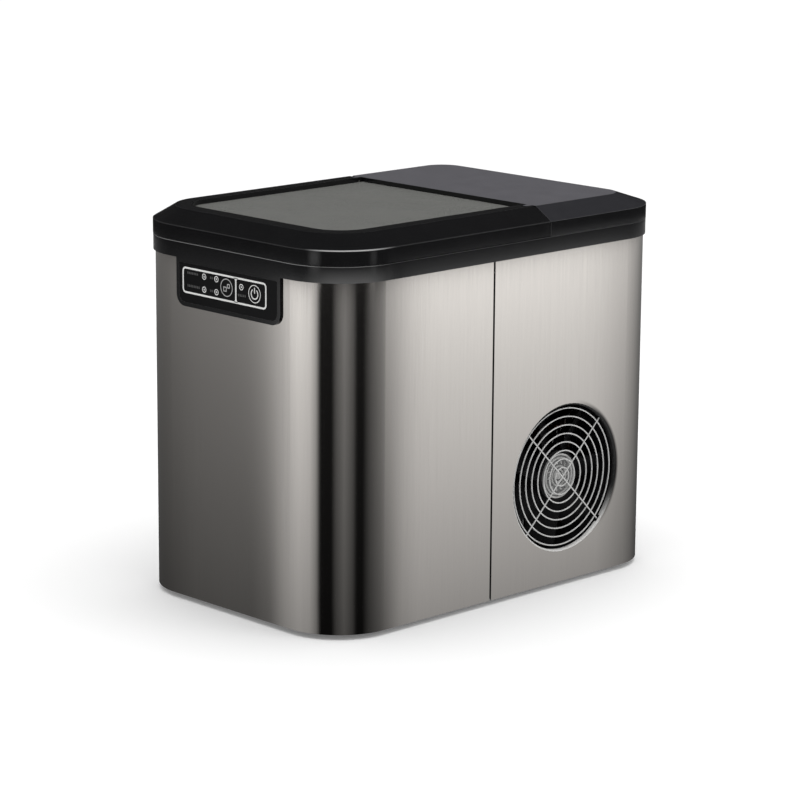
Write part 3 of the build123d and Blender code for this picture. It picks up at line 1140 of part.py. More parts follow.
# --- Write every piece ----------------------------------------------------------------------------
PIECES = {
    "base_tray": base_tray, "feet": feet, "front_shell": front_shell, "rear_shell": rear_shell,
    "top_frame": top_frame, "control_film": control_film, "leds": leds, "control_board": control_board,
    "lid_frame": lid_frame, "lid_window": lid_window, "rear_cover": rear_cover,
    "lid_hinge_pins": lid_hinge_pins, "cover_screws": cover_screws, "inner_liner": inner_liner,
    "foam_jacket": foam_jacket, "ice_basket": ice_basket, "ice_sensors": ice_sensors,
    "level_probe": level_probe, "water_pump": water_pump, "fill_hose": fill_hose,
    "water_tray": water_tray, "tray_shafts": tray_shafts, "ice_shovel": ice_shovel,
    "ice_slide": ice_slide, "tray_motor": tray_motor, "motor_bracket": motor_bracket,
    "pivot_bush": pivot_bush, "evaporator_tube": evaporator_tube,
    "evaporator_fingers": evaporator_fingers, "evaporator_holder": evaporator_holder,
    "evaporator_cover": evaporator_cover, "fan_frame": fan_frame, "fan_motor": fan_motor,
    "fan_rotor": fan_rotor, "fan_guard": fan_guard, "hub_badge": hub_badge,
    "fan_screws": fan_screws, "condenser_coil": condenser_coil, "condenser_fins": condenser_fins,
    "condenser_frame": condenser_frame, "compressor_shell": compressor_shell,
    "compressor_motor": compressor_motor, "compressor_grommets": compressor_grommets,
    "compressor_nuts": compressor_nuts, "filter_drier": filter_drier, "hot_gas_valve": hot_gas_valve,
    "discharge_tube": discharge_tube, "liquid_tube": liquid_tube, "capillary_tube": capillary_tube,
    "suction_tube": suction_tube, "board_bracket": board_bracket, "main_board": main_board,
    "drain_bezel": drain_bezel, "drain_spout": drain_spout, "drain_plug": drain_plug,
    "power_inlet": power_inlet,
}

os.makedirs("parts", exist_ok=True)
for name, make in PIECES.items():
    write(name, make())
write("select_button", button(SELECT_BUTTON))
write("power_button", button(POWER_BUTTON))
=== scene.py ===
import bpy
from math import cos, hypot, pi, radians, sin
from mathutils import Matrix, Vector


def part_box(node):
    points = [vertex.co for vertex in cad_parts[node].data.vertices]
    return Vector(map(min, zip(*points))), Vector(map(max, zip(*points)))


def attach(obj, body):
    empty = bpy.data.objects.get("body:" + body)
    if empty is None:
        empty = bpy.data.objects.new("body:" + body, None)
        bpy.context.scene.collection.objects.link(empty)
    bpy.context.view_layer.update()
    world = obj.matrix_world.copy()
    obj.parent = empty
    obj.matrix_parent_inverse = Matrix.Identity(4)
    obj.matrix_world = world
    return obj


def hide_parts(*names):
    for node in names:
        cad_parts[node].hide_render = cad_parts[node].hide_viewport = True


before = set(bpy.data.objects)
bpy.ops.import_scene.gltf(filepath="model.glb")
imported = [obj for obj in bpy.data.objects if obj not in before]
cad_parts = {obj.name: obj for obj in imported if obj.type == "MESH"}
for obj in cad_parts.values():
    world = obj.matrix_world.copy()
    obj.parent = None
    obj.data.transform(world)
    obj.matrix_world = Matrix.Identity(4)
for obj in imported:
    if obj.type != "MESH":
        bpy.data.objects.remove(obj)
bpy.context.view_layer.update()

# Table, backdrop and lamps. The machine stands on a plain white sheet. The lamps give a soft
# plain light. The grey cards show only in polished and brushed surfaces, as flags do in a studio.
bpy.ops.object.select_all(action="DESELECT")


def shade(name):
    """A new material with nodes: the material, its node tree and its Principled shader."""
    material = bpy.data.materials.new(name)
    material.use_nodes = True
    tree = material.node_tree
    return material, tree, tree.nodes["Principled BSDF"]


def feed(tree, node, values):
    """Gives each named or numbered input a fixed value or another node's output."""
    for label, value in values.items():
        if isinstance(value, (int, float, tuple)):
            node.inputs[label].default_value = value
        else:
            tree.links.new(value, node.inputs[label])


def math_node(tree, kind, first, second):
    node = tree.nodes.new("ShaderNodeMath")
    node.operation = kind
    feed(tree, node, {0: first, 1: second})
    return node.outputs[0]


def ramp_node(tree, value, low, high, at_low=0.0, at_high=1.0, smooth=False):
    node = tree.nodes.new("ShaderNodeMapRange")
    node.interpolation_type = "SMOOTHSTEP" if smooth else "LINEAR"
    feed(tree, node, {"Value": value, "From Min": low, "From Max": high, "To Min": at_low, "To Max": at_high})
    return node.outputs[0]


TABLE_GLOW = 0.14        # lifts the sheet to white for the camera alone


def stage_sheet_material():
    material, tree, shader = shade("table_sheet")
    path = tree.nodes.new("ShaderNodeLightPath")
    glow = math_node(tree, "MULTIPLY", path.outputs["Is Camera Ray"], TABLE_GLOW)
    feed(tree, shader, {"Base Color": (0.9, 0.9, 0.9, 1), "Roughness": 0.9, "Specular IOR Level": 0.1,
                        "Emission Color": (1, 1, 1, 1), "Emission Strength": glow})
    return material


bpy.ops.mesh.primitive_plane_add(size=14.0)
table = bpy.context.object
table.name = "table_sheet"
table.data.materials.append(stage_sheet_material())

SKY_FOR_LIGHT, SKY_IN_VIEW = 0.62, 1.0
world = bpy.data.worlds.new("studio")
bpy.context.scene.world = world
world.use_nodes = True
sky = world.node_tree
path = sky.nodes.new("ShaderNodeLightPath")
seen = math_node(sky, "MAXIMUM", path.outputs["Is Camera Ray"], path.outputs["Is Transmission Ray"])
seen_or_mirrored = math_node(sky, "MAXIMUM", seen, path.outputs["Is Glossy Ray"])
level = ramp_node(sky, seen_or_mirrored, 0.0, 1.0, SKY_FOR_LIGHT, SKY_IN_VIEW)
feed(sky, sky.nodes["Background"], {"Color": (1, 1, 1, 1), "Strength": level})


MACHINE_MIDDLE = Vector((0, 0, 0.15))


def soft_lamp(name, place, size, watts):
    """Square soft lamp aimed at the middle of the machine. It lights but isn't mirrored."""
    data = bpy.data.lights.new(name, "AREA")
    data.size = size
    data.energy = watts
    lamp = bpy.data.objects.new(name, data)
    bpy.context.collection.objects.link(lamp)
    lamp.location = place
    lamp.rotation_mode = "QUATERNION"
    lamp.rotation_quaternion = (Vector(place) - MACHINE_MIDDLE).to_track_quat("Z", "Y")
    lamp.visible_glossy = False


soft_lamp("overhead_lamp", (0.3, 0.2, 1.9), 1.6, 6.0)
soft_lamp("side_lamp", (1.9, 0.9, 1.2), 1.0, 5.0)
daylight = bpy.data.lights.new("even_light", "SUN")
daylight.energy = 1.15
daylight.angle = radians(60)
even_light = bpy.data.objects.new("even_light", daylight)
bpy.context.collection.objects.link(even_light)
even_light.location = (0, 0, 3)
even_light.visible_glossy = False

# Camera. A long lens stands off to the front right, a little above the lid, and looks at the
# corner between the control panel and the fan.
CAMERA_PLACE = Vector((1.67613, -1.63364, 0.67311))
AZIMUTH, ELEVATION, ROLL = radians(45.76), radians(12.87), radians(0.41)
camera_data = bpy.data.cameras.new("studio_camera")
camera_data.sensor_width = 36.0
camera_data.lens = 138.6
camera_data.clip_end = 50.0
camera = bpy.data.objects.new("studio_camera", camera_data)
bpy.context.collection.objects.link(camera)
bpy.context.scene.camera = camera
back = Vector((sin(AZIMUTH) * cos(ELEVATION), -cos(AZIMUTH) * cos(ELEVATION), sin(ELEVATION)))
level_right = Vector((cos(AZIMUTH), sin(AZIMUTH), 0))
level_up = back.cross(level_right)
camera_right = level_right * cos(ROLL) + level_up * sin(ROLL)
camera_up = level_up * cos(ROLL) - level_right * sin(ROLL)
turn = Matrix((camera_right, camera_up, back)).transposed()
camera.matrix_world = Matrix.Translation(CAMERA_PLACE) @ turn.to_4x4()
bpy.context.scene.view_settings.view_transform = "Standard"


# Reflector cards. One long grey card lies on the table round the machine, dark in front of the
# rounded corner and pale beside the fan. A dark drape hangs all round, for the lid.
def card_material(name):
    material, tree = shade(name)[:2]
    tree.nodes.clear()
    tone = tree.nodes.new("ShaderNodeAttribute")
    tone.attribute_name = "tone"
    glow = tree.nodes.new("ShaderNodeEmission")
    out = tree.nodes.new("ShaderNodeOutputMaterial")
    tree.links.new(tone.outputs["Fac"], glow.inputs["Strength"])
    tree.links.new(glow.outputs[0], out.inputs["Surface"])
    return material


def mirrored_only(piece):
    for rays in ("camera", "diffuse", "shadow", "transmission", "volume_scatter"):
        setattr(piece, "visible_" + rays, False)


wall_lo, wall_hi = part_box("front_shell")
rear_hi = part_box("rear_shell")[1]
FRONT_R, REAR_R = 0.049, 0.045       # the steel's rounded upright corners
# distance along the steel from the panel's left end, and how bright the card is there
CARD_TONES = [(-0.060, 0.08), (-0.010, 0.12), (0.024, 0.18), (0.058, 0.19), (0.090, 0.19), (0.110, 0.27),
              (0.126, 0.60), (0.141, 0.78), (0.150, 0.70), (0.155, 0.40), (0.158, 0.01), (0.167, 0.01),
              (0.170, 0.10), (0.176, 0.20), (0.182, 0.10), (0.185, 0.01), (0.190, 0.01), (0.195, 0.08),
              (0.205, 0.20), (0.214, 0.37), (0.226, 0.65), (0.244, 0.80), (0.300, 0.81), (0.400, 0.81),
              (0.440, 0.77), (0.468, 0.52), (0.490, 0.16), (0.520, 0.10)]
# the same for the black frame above the steel, and for the lid's glossy wall above that, which
# shows the edges of two lamps at the rounded corner
BAND_TONES = [(-0.060, 0.3), (0.000, 0.12), (0.130, 0.25), (0.150, 0.15), (0.156, 0.03), (0.205, 0.03),
              (0.226, 0.45), (0.468, 0.35), (0.520, 0.12)]
LID_TONES = [(0.1490, 0.02), (0.1530, 1.8), (0.1560, 1.8), (0.1600, 0.02), (0.1930, 0.02), (0.1955, 0.9),
             (0.1975, 0.9), (0.2000, 0.02), (0.5200, 0.02)]
STEEL_TOP, BAND_TOP, LID_WALL_TOP = wall_hi.z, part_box("top_frame")[1].z, 0.289
DARK = 0.02              # tone of a card that is to look black
STEP = 0.0006            # height over which one tone gives way to the next
FOOT_SHARE, RISE = 0.48, 3.3         # the steel's card: share of its tone at the foot, and growth with height
UPPER_PART, UPPER_RISE = 0.2, 3.0    # above this height it grows by so much more


def tone_at(stops, along):
    for (a, tone_a), (b, tone_b) in zip(stops, stops[1:]):
        if along <= b:
            share = max(0.0, (along - a) / (b - a))
            return tone_a + (tone_b - tone_a) * share
    return stops[-1][1]


def card_tone(along, height):
    """The card's tone for what is mirrored at a height: steel, black frame, lid wall or lid top."""
    if height >= LID_WALL_TOP + STEP:
        return DARK
    if height >= BAND_TOP + STEP:
        return tone_at(LID_TONES, along)
    if height >= STEEL_TOP + STEP:
        return tone_at(BAND_TONES, along)
    share = FOOT_SHARE + RISE * height + max(0.0, UPPER_RISE * (height - UPPER_PART))
    return tone_at(CARD_TONES, along) * share


def corner_places(centre, radius, along, angles, first_angle=0.0):
    """Places round an upright corner at the given angles in degrees, where 0 faces the front."""
    places = []
    for angle in angles:
        turn_by = radians(angle)
        normal = Vector((sin(turn_by), -cos(turn_by), 0))
        places.append((along + radius * radians(angle - first_angle), centre + normal * radius, normal))
    return places


def wall_places(start, end, normal, along, count):
    return [(along + (end - start).length * step / (count - 1), start.lerp(end, step / (count - 1)), normal)
            for step in range(count)]


def steel_outline():
    """Places round the steel as (distance along it, place, outward normal)."""
    right, front, rear = wall_hi.x, wall_lo.y, rear_hi.y
    flat_x, corner_y, rear_y = right - FRONT_R, front + FRONT_R, rear - REAR_R
    width, quarter, depth = 2 * flat_x, FRONT_R * pi / 2, rear_y - corner_y
    left_angles = [4.5 * step for step in range(-12, 0)]
    right_angles = [1.5 * step for step in range(1, 60)]
    rear_angles = [90 + 4.0 * step for step in range(1, 13)]
    places = corner_places(Vector((-flat_x, corner_y, 0)), FRONT_R, 0.0, left_angles)
    wall = Vector((-flat_x, front, 0)), Vector((flat_x, front, 0)), Vector((0, -1, 0))
    places += wall_places(*wall, 0.0, 45)
    places += corner_places(Vector((flat_x, corner_y, 0)), FRONT_R, width, right_angles)
    along = width + quarter
    wall = Vector((right, corner_y, 0)), Vector((right, rear_y, 0)), Vector((1, 0, 0))
    places += wall_places(*wall, along, 60)
    places += corner_places(Vector((right - REAR_R, rear_y, 0)), REAR_R, along + depth, rear_angles, 90)
    return places


CARD_GAP, CARD_LIFT = 0.0005, 0.0006       # from the steel and above the table


def long_card():
    """Each line of the card runs from the steel along the way that the steel mirrors it."""
    places = steel_outline()
    heights = [0.0, 0.03, 0.06, 0.10, 0.14, 0.18, 0.22, 0.25, STEEL_TOP, STEEL_TOP + STEP,
               BAND_TOP, BAND_TOP + STEP, LID_WALL_TOP, LID_WALL_TOP + STEP, 0.40]
    points, tones, faces = [], [], []
    for along, place, normal in places:
        sight = place - CAMERA_PLACE
        sight.z = 0
        reach = sight.length
        away = sight.normalized().reflect(normal)
        for height in heights:
            run = height * reach / (CAMERA_PLACE.z - height)
            point = place + normal * CARD_GAP + away * run
            points.append((point.x, point.y, CARD_LIFT))
            tones.append(card_tone(along, height))
    rows = len(heights)
    for column in range(len(places) - 1):
        for row in range(rows - 1):
            corner = column * rows + row
            faces.append((corner, corner + 1, corner + rows + 1, corner + rows))
    mesh = bpy.data.meshes.new("long_card")
    mesh.from_pydata(points, [], faces)
    layer = mesh.attributes.new("tone", "FLOAT", "POINT")
    layer.data.foreach_set("value", tones)
    card = bpy.data.objects.new("long_card", mesh)
    bpy.context.collection.objects.link(card)
    return card


tone_card = card_material("grey_card")
card = long_card()
card.data.materials.append(tone_card)
mirrored_only(card)


def settle():
    """Moves the selected object's origin to the world's, with its place and size in its mesh."""
    bpy.ops.object.transform_apply(location=True, rotation=True, scale=True)


DRAPE_R, DRAPE_H, DRAPE_LIFT, PEAK_TONE = 4.5, 3.4, 0.05, 0.05
bpy.ops.mesh.primitive_cone_add(vertices=96, radius1=DRAPE_R, radius2=0.0, depth=DRAPE_H,
                                end_fill_type="NOTHING", location=(0, 0, DRAPE_LIFT + DRAPE_H / 2))
drape = bpy.context.object
drape.name = "dark_drape"
settle()
layer = drape.data.attributes.new("tone", "FLOAT", "POINT")
layer.data.foreach_set("value", [DARK if corner.co.z < DRAPE_H / 2 else PEAK_TONE
                                 for corner in drape.data.vertices])
drape.data.materials.append(tone_card)
mirrored_only(drape)


# Feet and base. Four rubber pads plug into a moulded black tray with air slots, which closes
# the steel from below and carries everything that stands in the machine.
COLOUR, NUMBER, VECTOR = "NodeSocketColor", "NodeSocketFloat", "NodeSocketVector"


def new_group(name, inputs, outputs):
    """A node group: the group, the sockets of what it is given, and its output node."""
    group = bpy.data.node_groups.new(name, "ShaderNodeTree")
    for label, kind, value in inputs:
        socket = group.interface.new_socket(label, in_out="INPUT", socket_type=kind)
        socket.default_value = value
    for label, kind in outputs:
        group.interface.new_socket(label, in_out="OUTPUT", socket_type=kind)
    start = group.nodes.new("NodeGroupInput")
    end = group.nodes.new("NodeGroupOutput")
    return group, start.outputs, end


SURFACE_OUTPUTS = [("Colour", COLOUR), ("Roughness", NUMBER), ("Normal", VECTOR)]


def colour_between(tree, share, first, second):
    node = tree.nodes.new("ShaderNodeMix")
    node.data_type = "RGBA"
    feed(tree, node, {"Factor": share, "A": first, "B": second})
    return node.outputs["Result"]


def relief_node(tree, height, strength, distance):
    node = tree.nodes.new("ShaderNodeBump")
    feed(tree, node, {"Height": height, "Strength": strength, "Distance": distance})
    return node.outputs["Normal"]


def vector_node(tree, kind, first, second):
    node = tree.nodes.new("ShaderNodeVectorMath")
    node.operation = kind
    feed(tree, node, {0: first, 1: second})
    return node.outputs["Vector" if kind in ("SUBTRACT", "MULTIPLY") else "Value"]


def make_grain_group():
    """Moulded plastic's faint mottle and fine grain or, drawn out by Stretch, brushed steel's lines."""
    group, given, end = new_group(
        "surface_grain",
        [("Colour", COLOUR, (0.5, 0.5, 0.5, 1)), ("Worn Colour", COLOUR, (0.6, 0.6, 0.6, 1)),
         ("Mottle Size", NUMBER, 30.0), ("Grain Size", NUMBER, 900.0),
         ("Roughness", NUMBER, 0.4), ("Roughness Change", NUMBER, 0.1),
         ("Grain Depth", NUMBER, 0.2), ("Stretch", VECTOR, (1, 1, 1))],
        SURFACE_OUTPUTS)
    where = group.nodes.new("ShaderNodeTexCoord")
    stretched = vector_node(group, "MULTIPLY", where.outputs["Object"], given["Stretch"])
    mottle, grain = group.nodes.new("ShaderNodeTexNoise"), group.nodes.new("ShaderNodeTexNoise")
    feed(group, mottle, {"Vector": stretched, "Scale": given["Mottle Size"], "Detail": 5.0, "Roughness": 0.6})
    feed(group, grain, {"Vector": stretched, "Scale": given["Grain Size"], "Detail": 2.0})
    share = ramp_node(group, math_node(group, "ADD", mottle.outputs["Fac"], grain.outputs["Fac"]), 0.6, 1.4)
    change = math_node(group, "MULTIPLY", share, given["Roughness Change"])
    feed(group, end, {"Colour": colour_between(group, share, given["Colour"], given["Worn Colour"]),
                      "Roughness": math_node(group, "ADD", change, given["Roughness"]),
                      "Normal": relief_node(group, grain.outputs["Fac"], given["Grain Depth"], 0.0002)})
    return group


grain_group = make_grain_group()


def group_node(tree, group, values):
    effect = tree.nodes.new("ShaderNodeGroup")
    effect.node_tree = group
    feed(tree, effect, values)
    return effect


def surface_material(name, group, values, metal, specular, coat):
    """A material whose colour, roughness and relief come from one of the two groups."""
    material, tree, shader = shade(name)
    surface = group_node(tree, group, values).outputs
    feed(tree, shader, {"Base Color": surface["Colour"], "Roughness": surface["Roughness"],
                        "Normal": surface["Normal"], "Metallic": metal, "Specular IOR Level": specular,
                        "Coat Weight": coat, "Coat Roughness": 0.05})
    return material


def grained(name, colour, worn, rough, rough_change=0.08, mottle=30.0, grain=900.0, depth=0.2,
            stretch=(1, 1, 1), metal=0.0, specular=0.5, coat=0.0):
    values = {"Colour": (*colour, 1), "Worn Colour": (*worn, 1), "Mottle Size": mottle, "Grain Size": grain,
              "Roughness": rough, "Roughness Change": rough_change, "Grain Depth": depth, "Stretch": stretch}
    return surface_material(name, grain_group, values, metal, specular, coat)


foot_rubber = grained("foot_rubber", (0.012, 0.012, 0.012), (0.03, 0.03, 0.03), 0.7, depth=0.5)
base_plastic = grained("base_plastic", (0.014, 0.014, 0.015), (0.026, 0.026, 0.028), 0.5, depth=0.35)


def select_only(piece):
    bpy.ops.object.select_all(action="DESELECT")
    bpy.context.view_layer.objects.active = piece
    piece.select_set(True)


def edit_whole():
    """Opens the active mesh for editing, with everything in it selected."""
    bpy.ops.object.mode_set(mode="EDIT")
    bpy.ops.mesh.select_all(action="SELECT")


def close_edit():
    bpy.ops.object.mode_set(mode="OBJECT")


def merged_copy(node, material):
    """The node's shape on a mesh of its own, with its corners merged and flat faces joined."""
    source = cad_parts[node]
    piece = source.copy()
    piece.data = source.data.copy()
    piece.name = node + "_finished"
    piece.parent = None
    piece.matrix_world = Matrix.Identity(4)
    bpy.context.collection.objects.link(piece)
    select_only(piece)
    edit_whole()
    bpy.ops.mesh.remove_doubles(threshold=0.000005)
    bpy.ops.mesh.customdata_custom_splitnormals_clear()
    bpy.ops.mesh.dissolve_limited(angle_limit=radians(0.6))
    close_edit()
    piece.data.materials.clear()
    piece.data.materials.append(material)
    return piece


SHARP = 12.0            # degrees: curves turn by less than this from face to face, edges by more


def round_edges(piece, rounding, edge_highlight=None, segments=2):
    """Rounds the sharp edges a little, and shades curves smooth and flat faces flat. A given edge finish, a
    painted highlight, goes on the rounded strips.
    """
    select_only(piece)
    edges = piece.modifiers.new("edges", "BEVEL")
    edges.width = rounding
    edges.segments = segments
    edges.limit_method = "ANGLE"
    edges.angle_limit = radians(SHARP)
    if edge_highlight:
        piece.data.materials.append(edge_highlight)
        edges.material = len(piece.data.materials) - 1
    bpy.ops.object.modifier_apply(modifier="edges")
    bpy.ops.object.shade_smooth_by_angle(angle=radians(35))
    flat = piece.modifiers.new("flat_faces", "WEIGHTED_NORMAL")
    flat.keep_sharp = True
    bpy.ops.object.modifier_apply(modifier="flat_faces")


def place_piece(piece, body, node=None):
    if node:
        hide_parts(node)
    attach(piece, body)


def finished(node, body, material, rounding):
    """A rounded copy that stands for the node and moves with its body."""
    piece = merged_copy(node, material)
    round_edges(piece, rounding)
    place_piece(piece, body, node)
    return piece


finished("feet", "cabinet", foot_rubber, 0.0008)
finished("base_tray", "cabinet", base_plastic, 0.0004)

# Compressor. A drawn and welded steel pot in thick black paint stands on four rubber grommets
# with zinc nuts; its motor is hidden inside it.
thick_paint = grained("thick_black_paint", (0.013, 0.013, 0.014), (0.030, 0.030, 0.032), 0.3, 0.15, 25.0,
                      350.0, 0.35, coat=0.3)
motor_iron = grained("motor_iron", (0.16, 0.155, 0.15), (0.24, 0.22, 0.20), 0.45, 0.15, 90.0, 700.0, 0.3,
                     metal=0.9)
winding_copper = grained("winding_copper", (0.52, 0.20, 0.08), (0.36, 0.12, 0.05), 0.35, 0.1, 60.0, 900.0,
                         0.6, (1, 1, 6), 0.9)


def make_cell_group():
    """Cells with joints between them: zinc spangle, foam beads, the copper areas of a circuit board."""
    group, given, end = new_group(
        "cell_pattern",
        [("Colour", COLOUR, (0.5, 0.5, 0.5, 1)), ("Joint Colour", COLOUR, (0.4, 0.4, 0.4, 1)),
         ("Cell Size", NUMBER, 300.0), ("Joint Width", NUMBER, 0.1),
         ("Cell Change", NUMBER, 0.2), ("Roughness", NUMBER, 0.5),
         ("Depth", NUMBER, 0.3)],
        SURFACE_OUTPUTS)
    where = group.nodes.new("ShaderNodeTexCoord")
    cells, joints = group.nodes.new("ShaderNodeTexVoronoi"), group.nodes.new("ShaderNodeTexVoronoi")
    joints.feature = "DISTANCE_TO_EDGE"
    for texture in (cells, joints):
        feed(group, texture, {"Vector": where.outputs["Object"], "Scale": given["Cell Size"]})
    mask = ramp_node(group, joints.outputs["Distance"], 0.0, given["Joint Width"])
    parts = group.nodes.new("ShaderNodeSeparateColor")
    feed(group, parts, {0: cells.outputs["Color"]})
    drift = math_node(group, "MULTIPLY", parts.outputs[0], given["Cell Change"])
    clear = math_node(group, "SUBTRACT", mask, drift)
    rougher = math_node(group, "MULTIPLY", drift, 0.6)
    feed(group, end, {"Colour": colour_between(group, clear, given["Joint Colour"], given["Colour"]),
                      "Roughness": math_node(group, "ADD", rougher, given["Roughness"]),
                      "Normal": relief_node(group, mask, given["Depth"], 0.0003)})
    return group


cell_group = make_cell_group()


def celled(name, colour, joint, size, width, change, rough, depth, metal=0.0, specular=0.5):
    values = {"Colour": (*colour, 1), "Joint Colour": (*joint, 1), "Cell Size": size, "Joint Width": width,
              "Cell Change": change, "Roughness": rough, "Depth": depth}
    return surface_material(name, cell_group, values, metal, specular, 0.0)


def dress(node, material):
    """Gives a CAD node its finish."""
    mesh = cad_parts[node].data
    mesh.materials.clear()
    mesh.materials.append(material)


def refinish(piece, material, chosen):
    """A second finish on the faces that chosen(middle, normal) picks."""
    piece.data.materials.append(material)
    index = len(piece.data.materials) - 1
    for face in piece.data.polygons:
        if chosen(face.center, face.normal):
            face.material_index = index


zinc_plate = celled("zinc_plate", (0.60, 0.61, 0.62), (0.50, 0.51, 0.53), 160.0, 0.04, 0.35, 0.28, 0.1, 1.0)
dress("compressor_shell", thick_paint)
dress("compressor_motor", motor_iron)
MOTOR_IRON_H = 0.0702    # the windings stand out above the iron
motor_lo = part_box("compressor_motor")[0]
refinish(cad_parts["compressor_motor"], winding_copper,
         lambda middle, normal: middle.z > motor_lo.z + MOTOR_IRON_H or normal.z < -0.9)
dress("compressor_grommets", foot_rubber)
dress("compressor_nuts", zinc_plate)

# Condenser. Thin aluminium fins are pressed on a copper coil between two zinc end plates, which
# stand on the base tray just behind the fan.
fin_metal = grained("fin_aluminium", (0.74, 0.75, 0.76), (0.60, 0.61, 0.62), 0.28, 0.12, 120.0, 1500.0,
                    0.1, metal=1.0)
copper = grained("copper_tube", (0.76, 0.36, 0.20), (0.55, 0.24, 0.13), 0.24, 0.16, 45.0, 1300.0, 0.1,
                 metal=1.0)
dress("condenser_fins", fin_metal)
dress("condenser_coil", copper)
dress("condenser_frame", zinc_plate)

# Fan. A black glass-filled frame holds the motor and a moulded rotor just inside the steel,
# on four long screws that also hold the guard.
fan_plastic = grained("fan_plastic", (0.006, 0.006, 0.0065), (0.011, 0.011, 0.012), 0.45, 0.1, 60.0, 1000.0,
                      0.25, specular=0.2)
finished("fan_frame", "cabinet", fan_plastic, 0.0003)
finished("fan_rotor", "fan", fan_plastic, 0.0002)
dress("fan_motor", fan_plastic)
dress("fan_screws", zinc_plate)

# Refrigerant path. Soft copper tubes, a copper drier and a brass-bodied valve with a black
# coil, all brazed together.
darkened_copper = grained("brazed_copper", (0.62, 0.27, 0.14), (0.30, 0.13, 0.08), 0.34, 0.2, 70.0, 900.0,
                          0.2, metal=1.0)
for tube in ("discharge_tube", "liquid_tube", "capillary_tube", "suction_tube"):
    dress(tube, copper)
dress("filter_drier", darkened_copper)
brass = grained("valve_brass", (0.78, 0.57, 0.24), (0.60, 0.42, 0.17), 0.3, 0.12, 60.0, 1100.0, 0.12,
                metal=1.0)
dress("hot_gas_valve", brass)
VALVE_COIL_Z0, VALVE_COIL_Z1 = 0.0079, 0.0401      # the coil's ends above the valve's foot
valve_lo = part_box("hot_gas_valve")[0]
refinish(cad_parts["hot_gas_valve"], fan_plastic,
         lambda middle, normal: valve_lo.z + VALVE_COIL_Z0 < middle.z < valve_lo.z + VALVE_COIL_Z1)

# Tub and its insulation. A pale grey vacuum-formed tub, with a sump and a raised shelf, stands
# in a block of white bead foam.
bead_foam = celled("bead_foam", (0.84, 0.84, 0.83), (0.62, 0.62, 0.61), 260.0, 0.12, 0.12, 0.8, 0.6,
                   specular=0.2)
liner_plastic = grained("liner_plastic", (0.50, 0.51, 0.52), (0.56, 0.57, 0.58), 0.32, 0.1, 25.0, 1100.0, 0.1)
dress("foam_jacket", bead_foam)
finished("inner_liner", "cabinet", liner_plastic, 0.0005)

# Water path. A black pump stands on the tub's floor and feeds the tray through a milky
# silicone hose; a float probe with two steel pins tells when the water is low.
pump_plastic = grained("pump_plastic", (0.016, 0.016, 0.018), (0.028, 0.028, 0.03), 0.4, depth=0.3)
pin_steel = grained("pin_steel", (0.62, 0.61, 0.60), (0.52, 0.51, 0.50), 0.2, 0.1, 70.0, 1500.0, 0.06,
                    (1, 1, 0.05), 1.0)
white_plastic = grained("white_plastic", (0.74, 0.74, 0.73), (0.80, 0.80, 0.79), 0.34, 0.1, 30.0, 1100.0,
                        0.12)


def see_through(material, share, ior):
    """Lets light through a clear or milky plastic."""
    tree = material.node_tree
    feed(tree, tree.nodes["Principled BSDF"], {"Transmission Weight": share, "IOR": ior})
    return material


milky_silicone = see_through(grained("milky_silicone", (0.80, 0.81, 0.80), (0.86, 0.86, 0.85), 0.35, 0.1,
                                     40.0, 700.0, 0.1), 0.5, 1.41)
finished("water_pump", "cabinet", pump_plastic, 0.0004)
dress("fill_hose", milky_silicone)
dress("level_probe", white_plastic)
PROBE_HEAD_H = 0.0121    # the pins stand out below the head
probe_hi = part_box("level_probe")[1]
refinish(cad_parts["level_probe"], pin_steel,
         lambda middle, normal: middle.z < probe_hi.z - PROBE_HEAD_H)

# Bullet maker. Nickel-plated fingers hang from a copper loop over a tipping water tray; a
# comb on two arms then pushes the ice off along a curved slide.
nickel = grained("nickel_plate", (0.70, 0.69, 0.66), (0.60, 0.59, 0.56), 0.2, 0.14, 70.0, 900.0, 0.12,
                 metal=1.0)
tray_plastic = grained("tray_plastic", (0.70, 0.71, 0.72), (0.76, 0.77, 0.78), 0.28, 0.1, 30.0, 1100.0, 0.1)
dress("evaporator_tube", copper)
dress("evaporator_fingers", nickel)
finished("evaporator_holder", "cabinet", white_plastic, 0.0003)
finished("evaporator_cover", "cabinet", liner_plastic, 0.0003)
finished("water_tray", "tray", tray_plastic, 0.0004)
dress("tray_shafts", pin_steel)
finished("ice_shovel", "shovel", white_plastic, 0.0003)
finished("ice_slide", "cabinet", liner_plastic, 0.0003)
dress("pivot_bush", white_plastic)
finished("tray_motor", "cabinet", white_plastic, 0.0004)
finished("motor_bracket", "cabinet", zinc_plate, 0.0002)

# Basket and ice sensors. A clear moulded basket hangs by its rim; two dark windows above it
# look across for a full load.
clear_plastic = see_through(grained("clear_plastic", (0.86, 0.89, 0.90), (0.90, 0.92, 0.93), 0.08, 0.1, 35.0,
                                    900.0, 0.06), 0.85, 1.49)
sensor_plastic = grained("sensor_plastic", (0.012, 0.010, 0.014), (0.020, 0.016, 0.022), 0.12, 0.08)
finished("ice_basket", "basket", clear_plastic, 0.0003)
dress("ice_sensors", sensor_plastic)

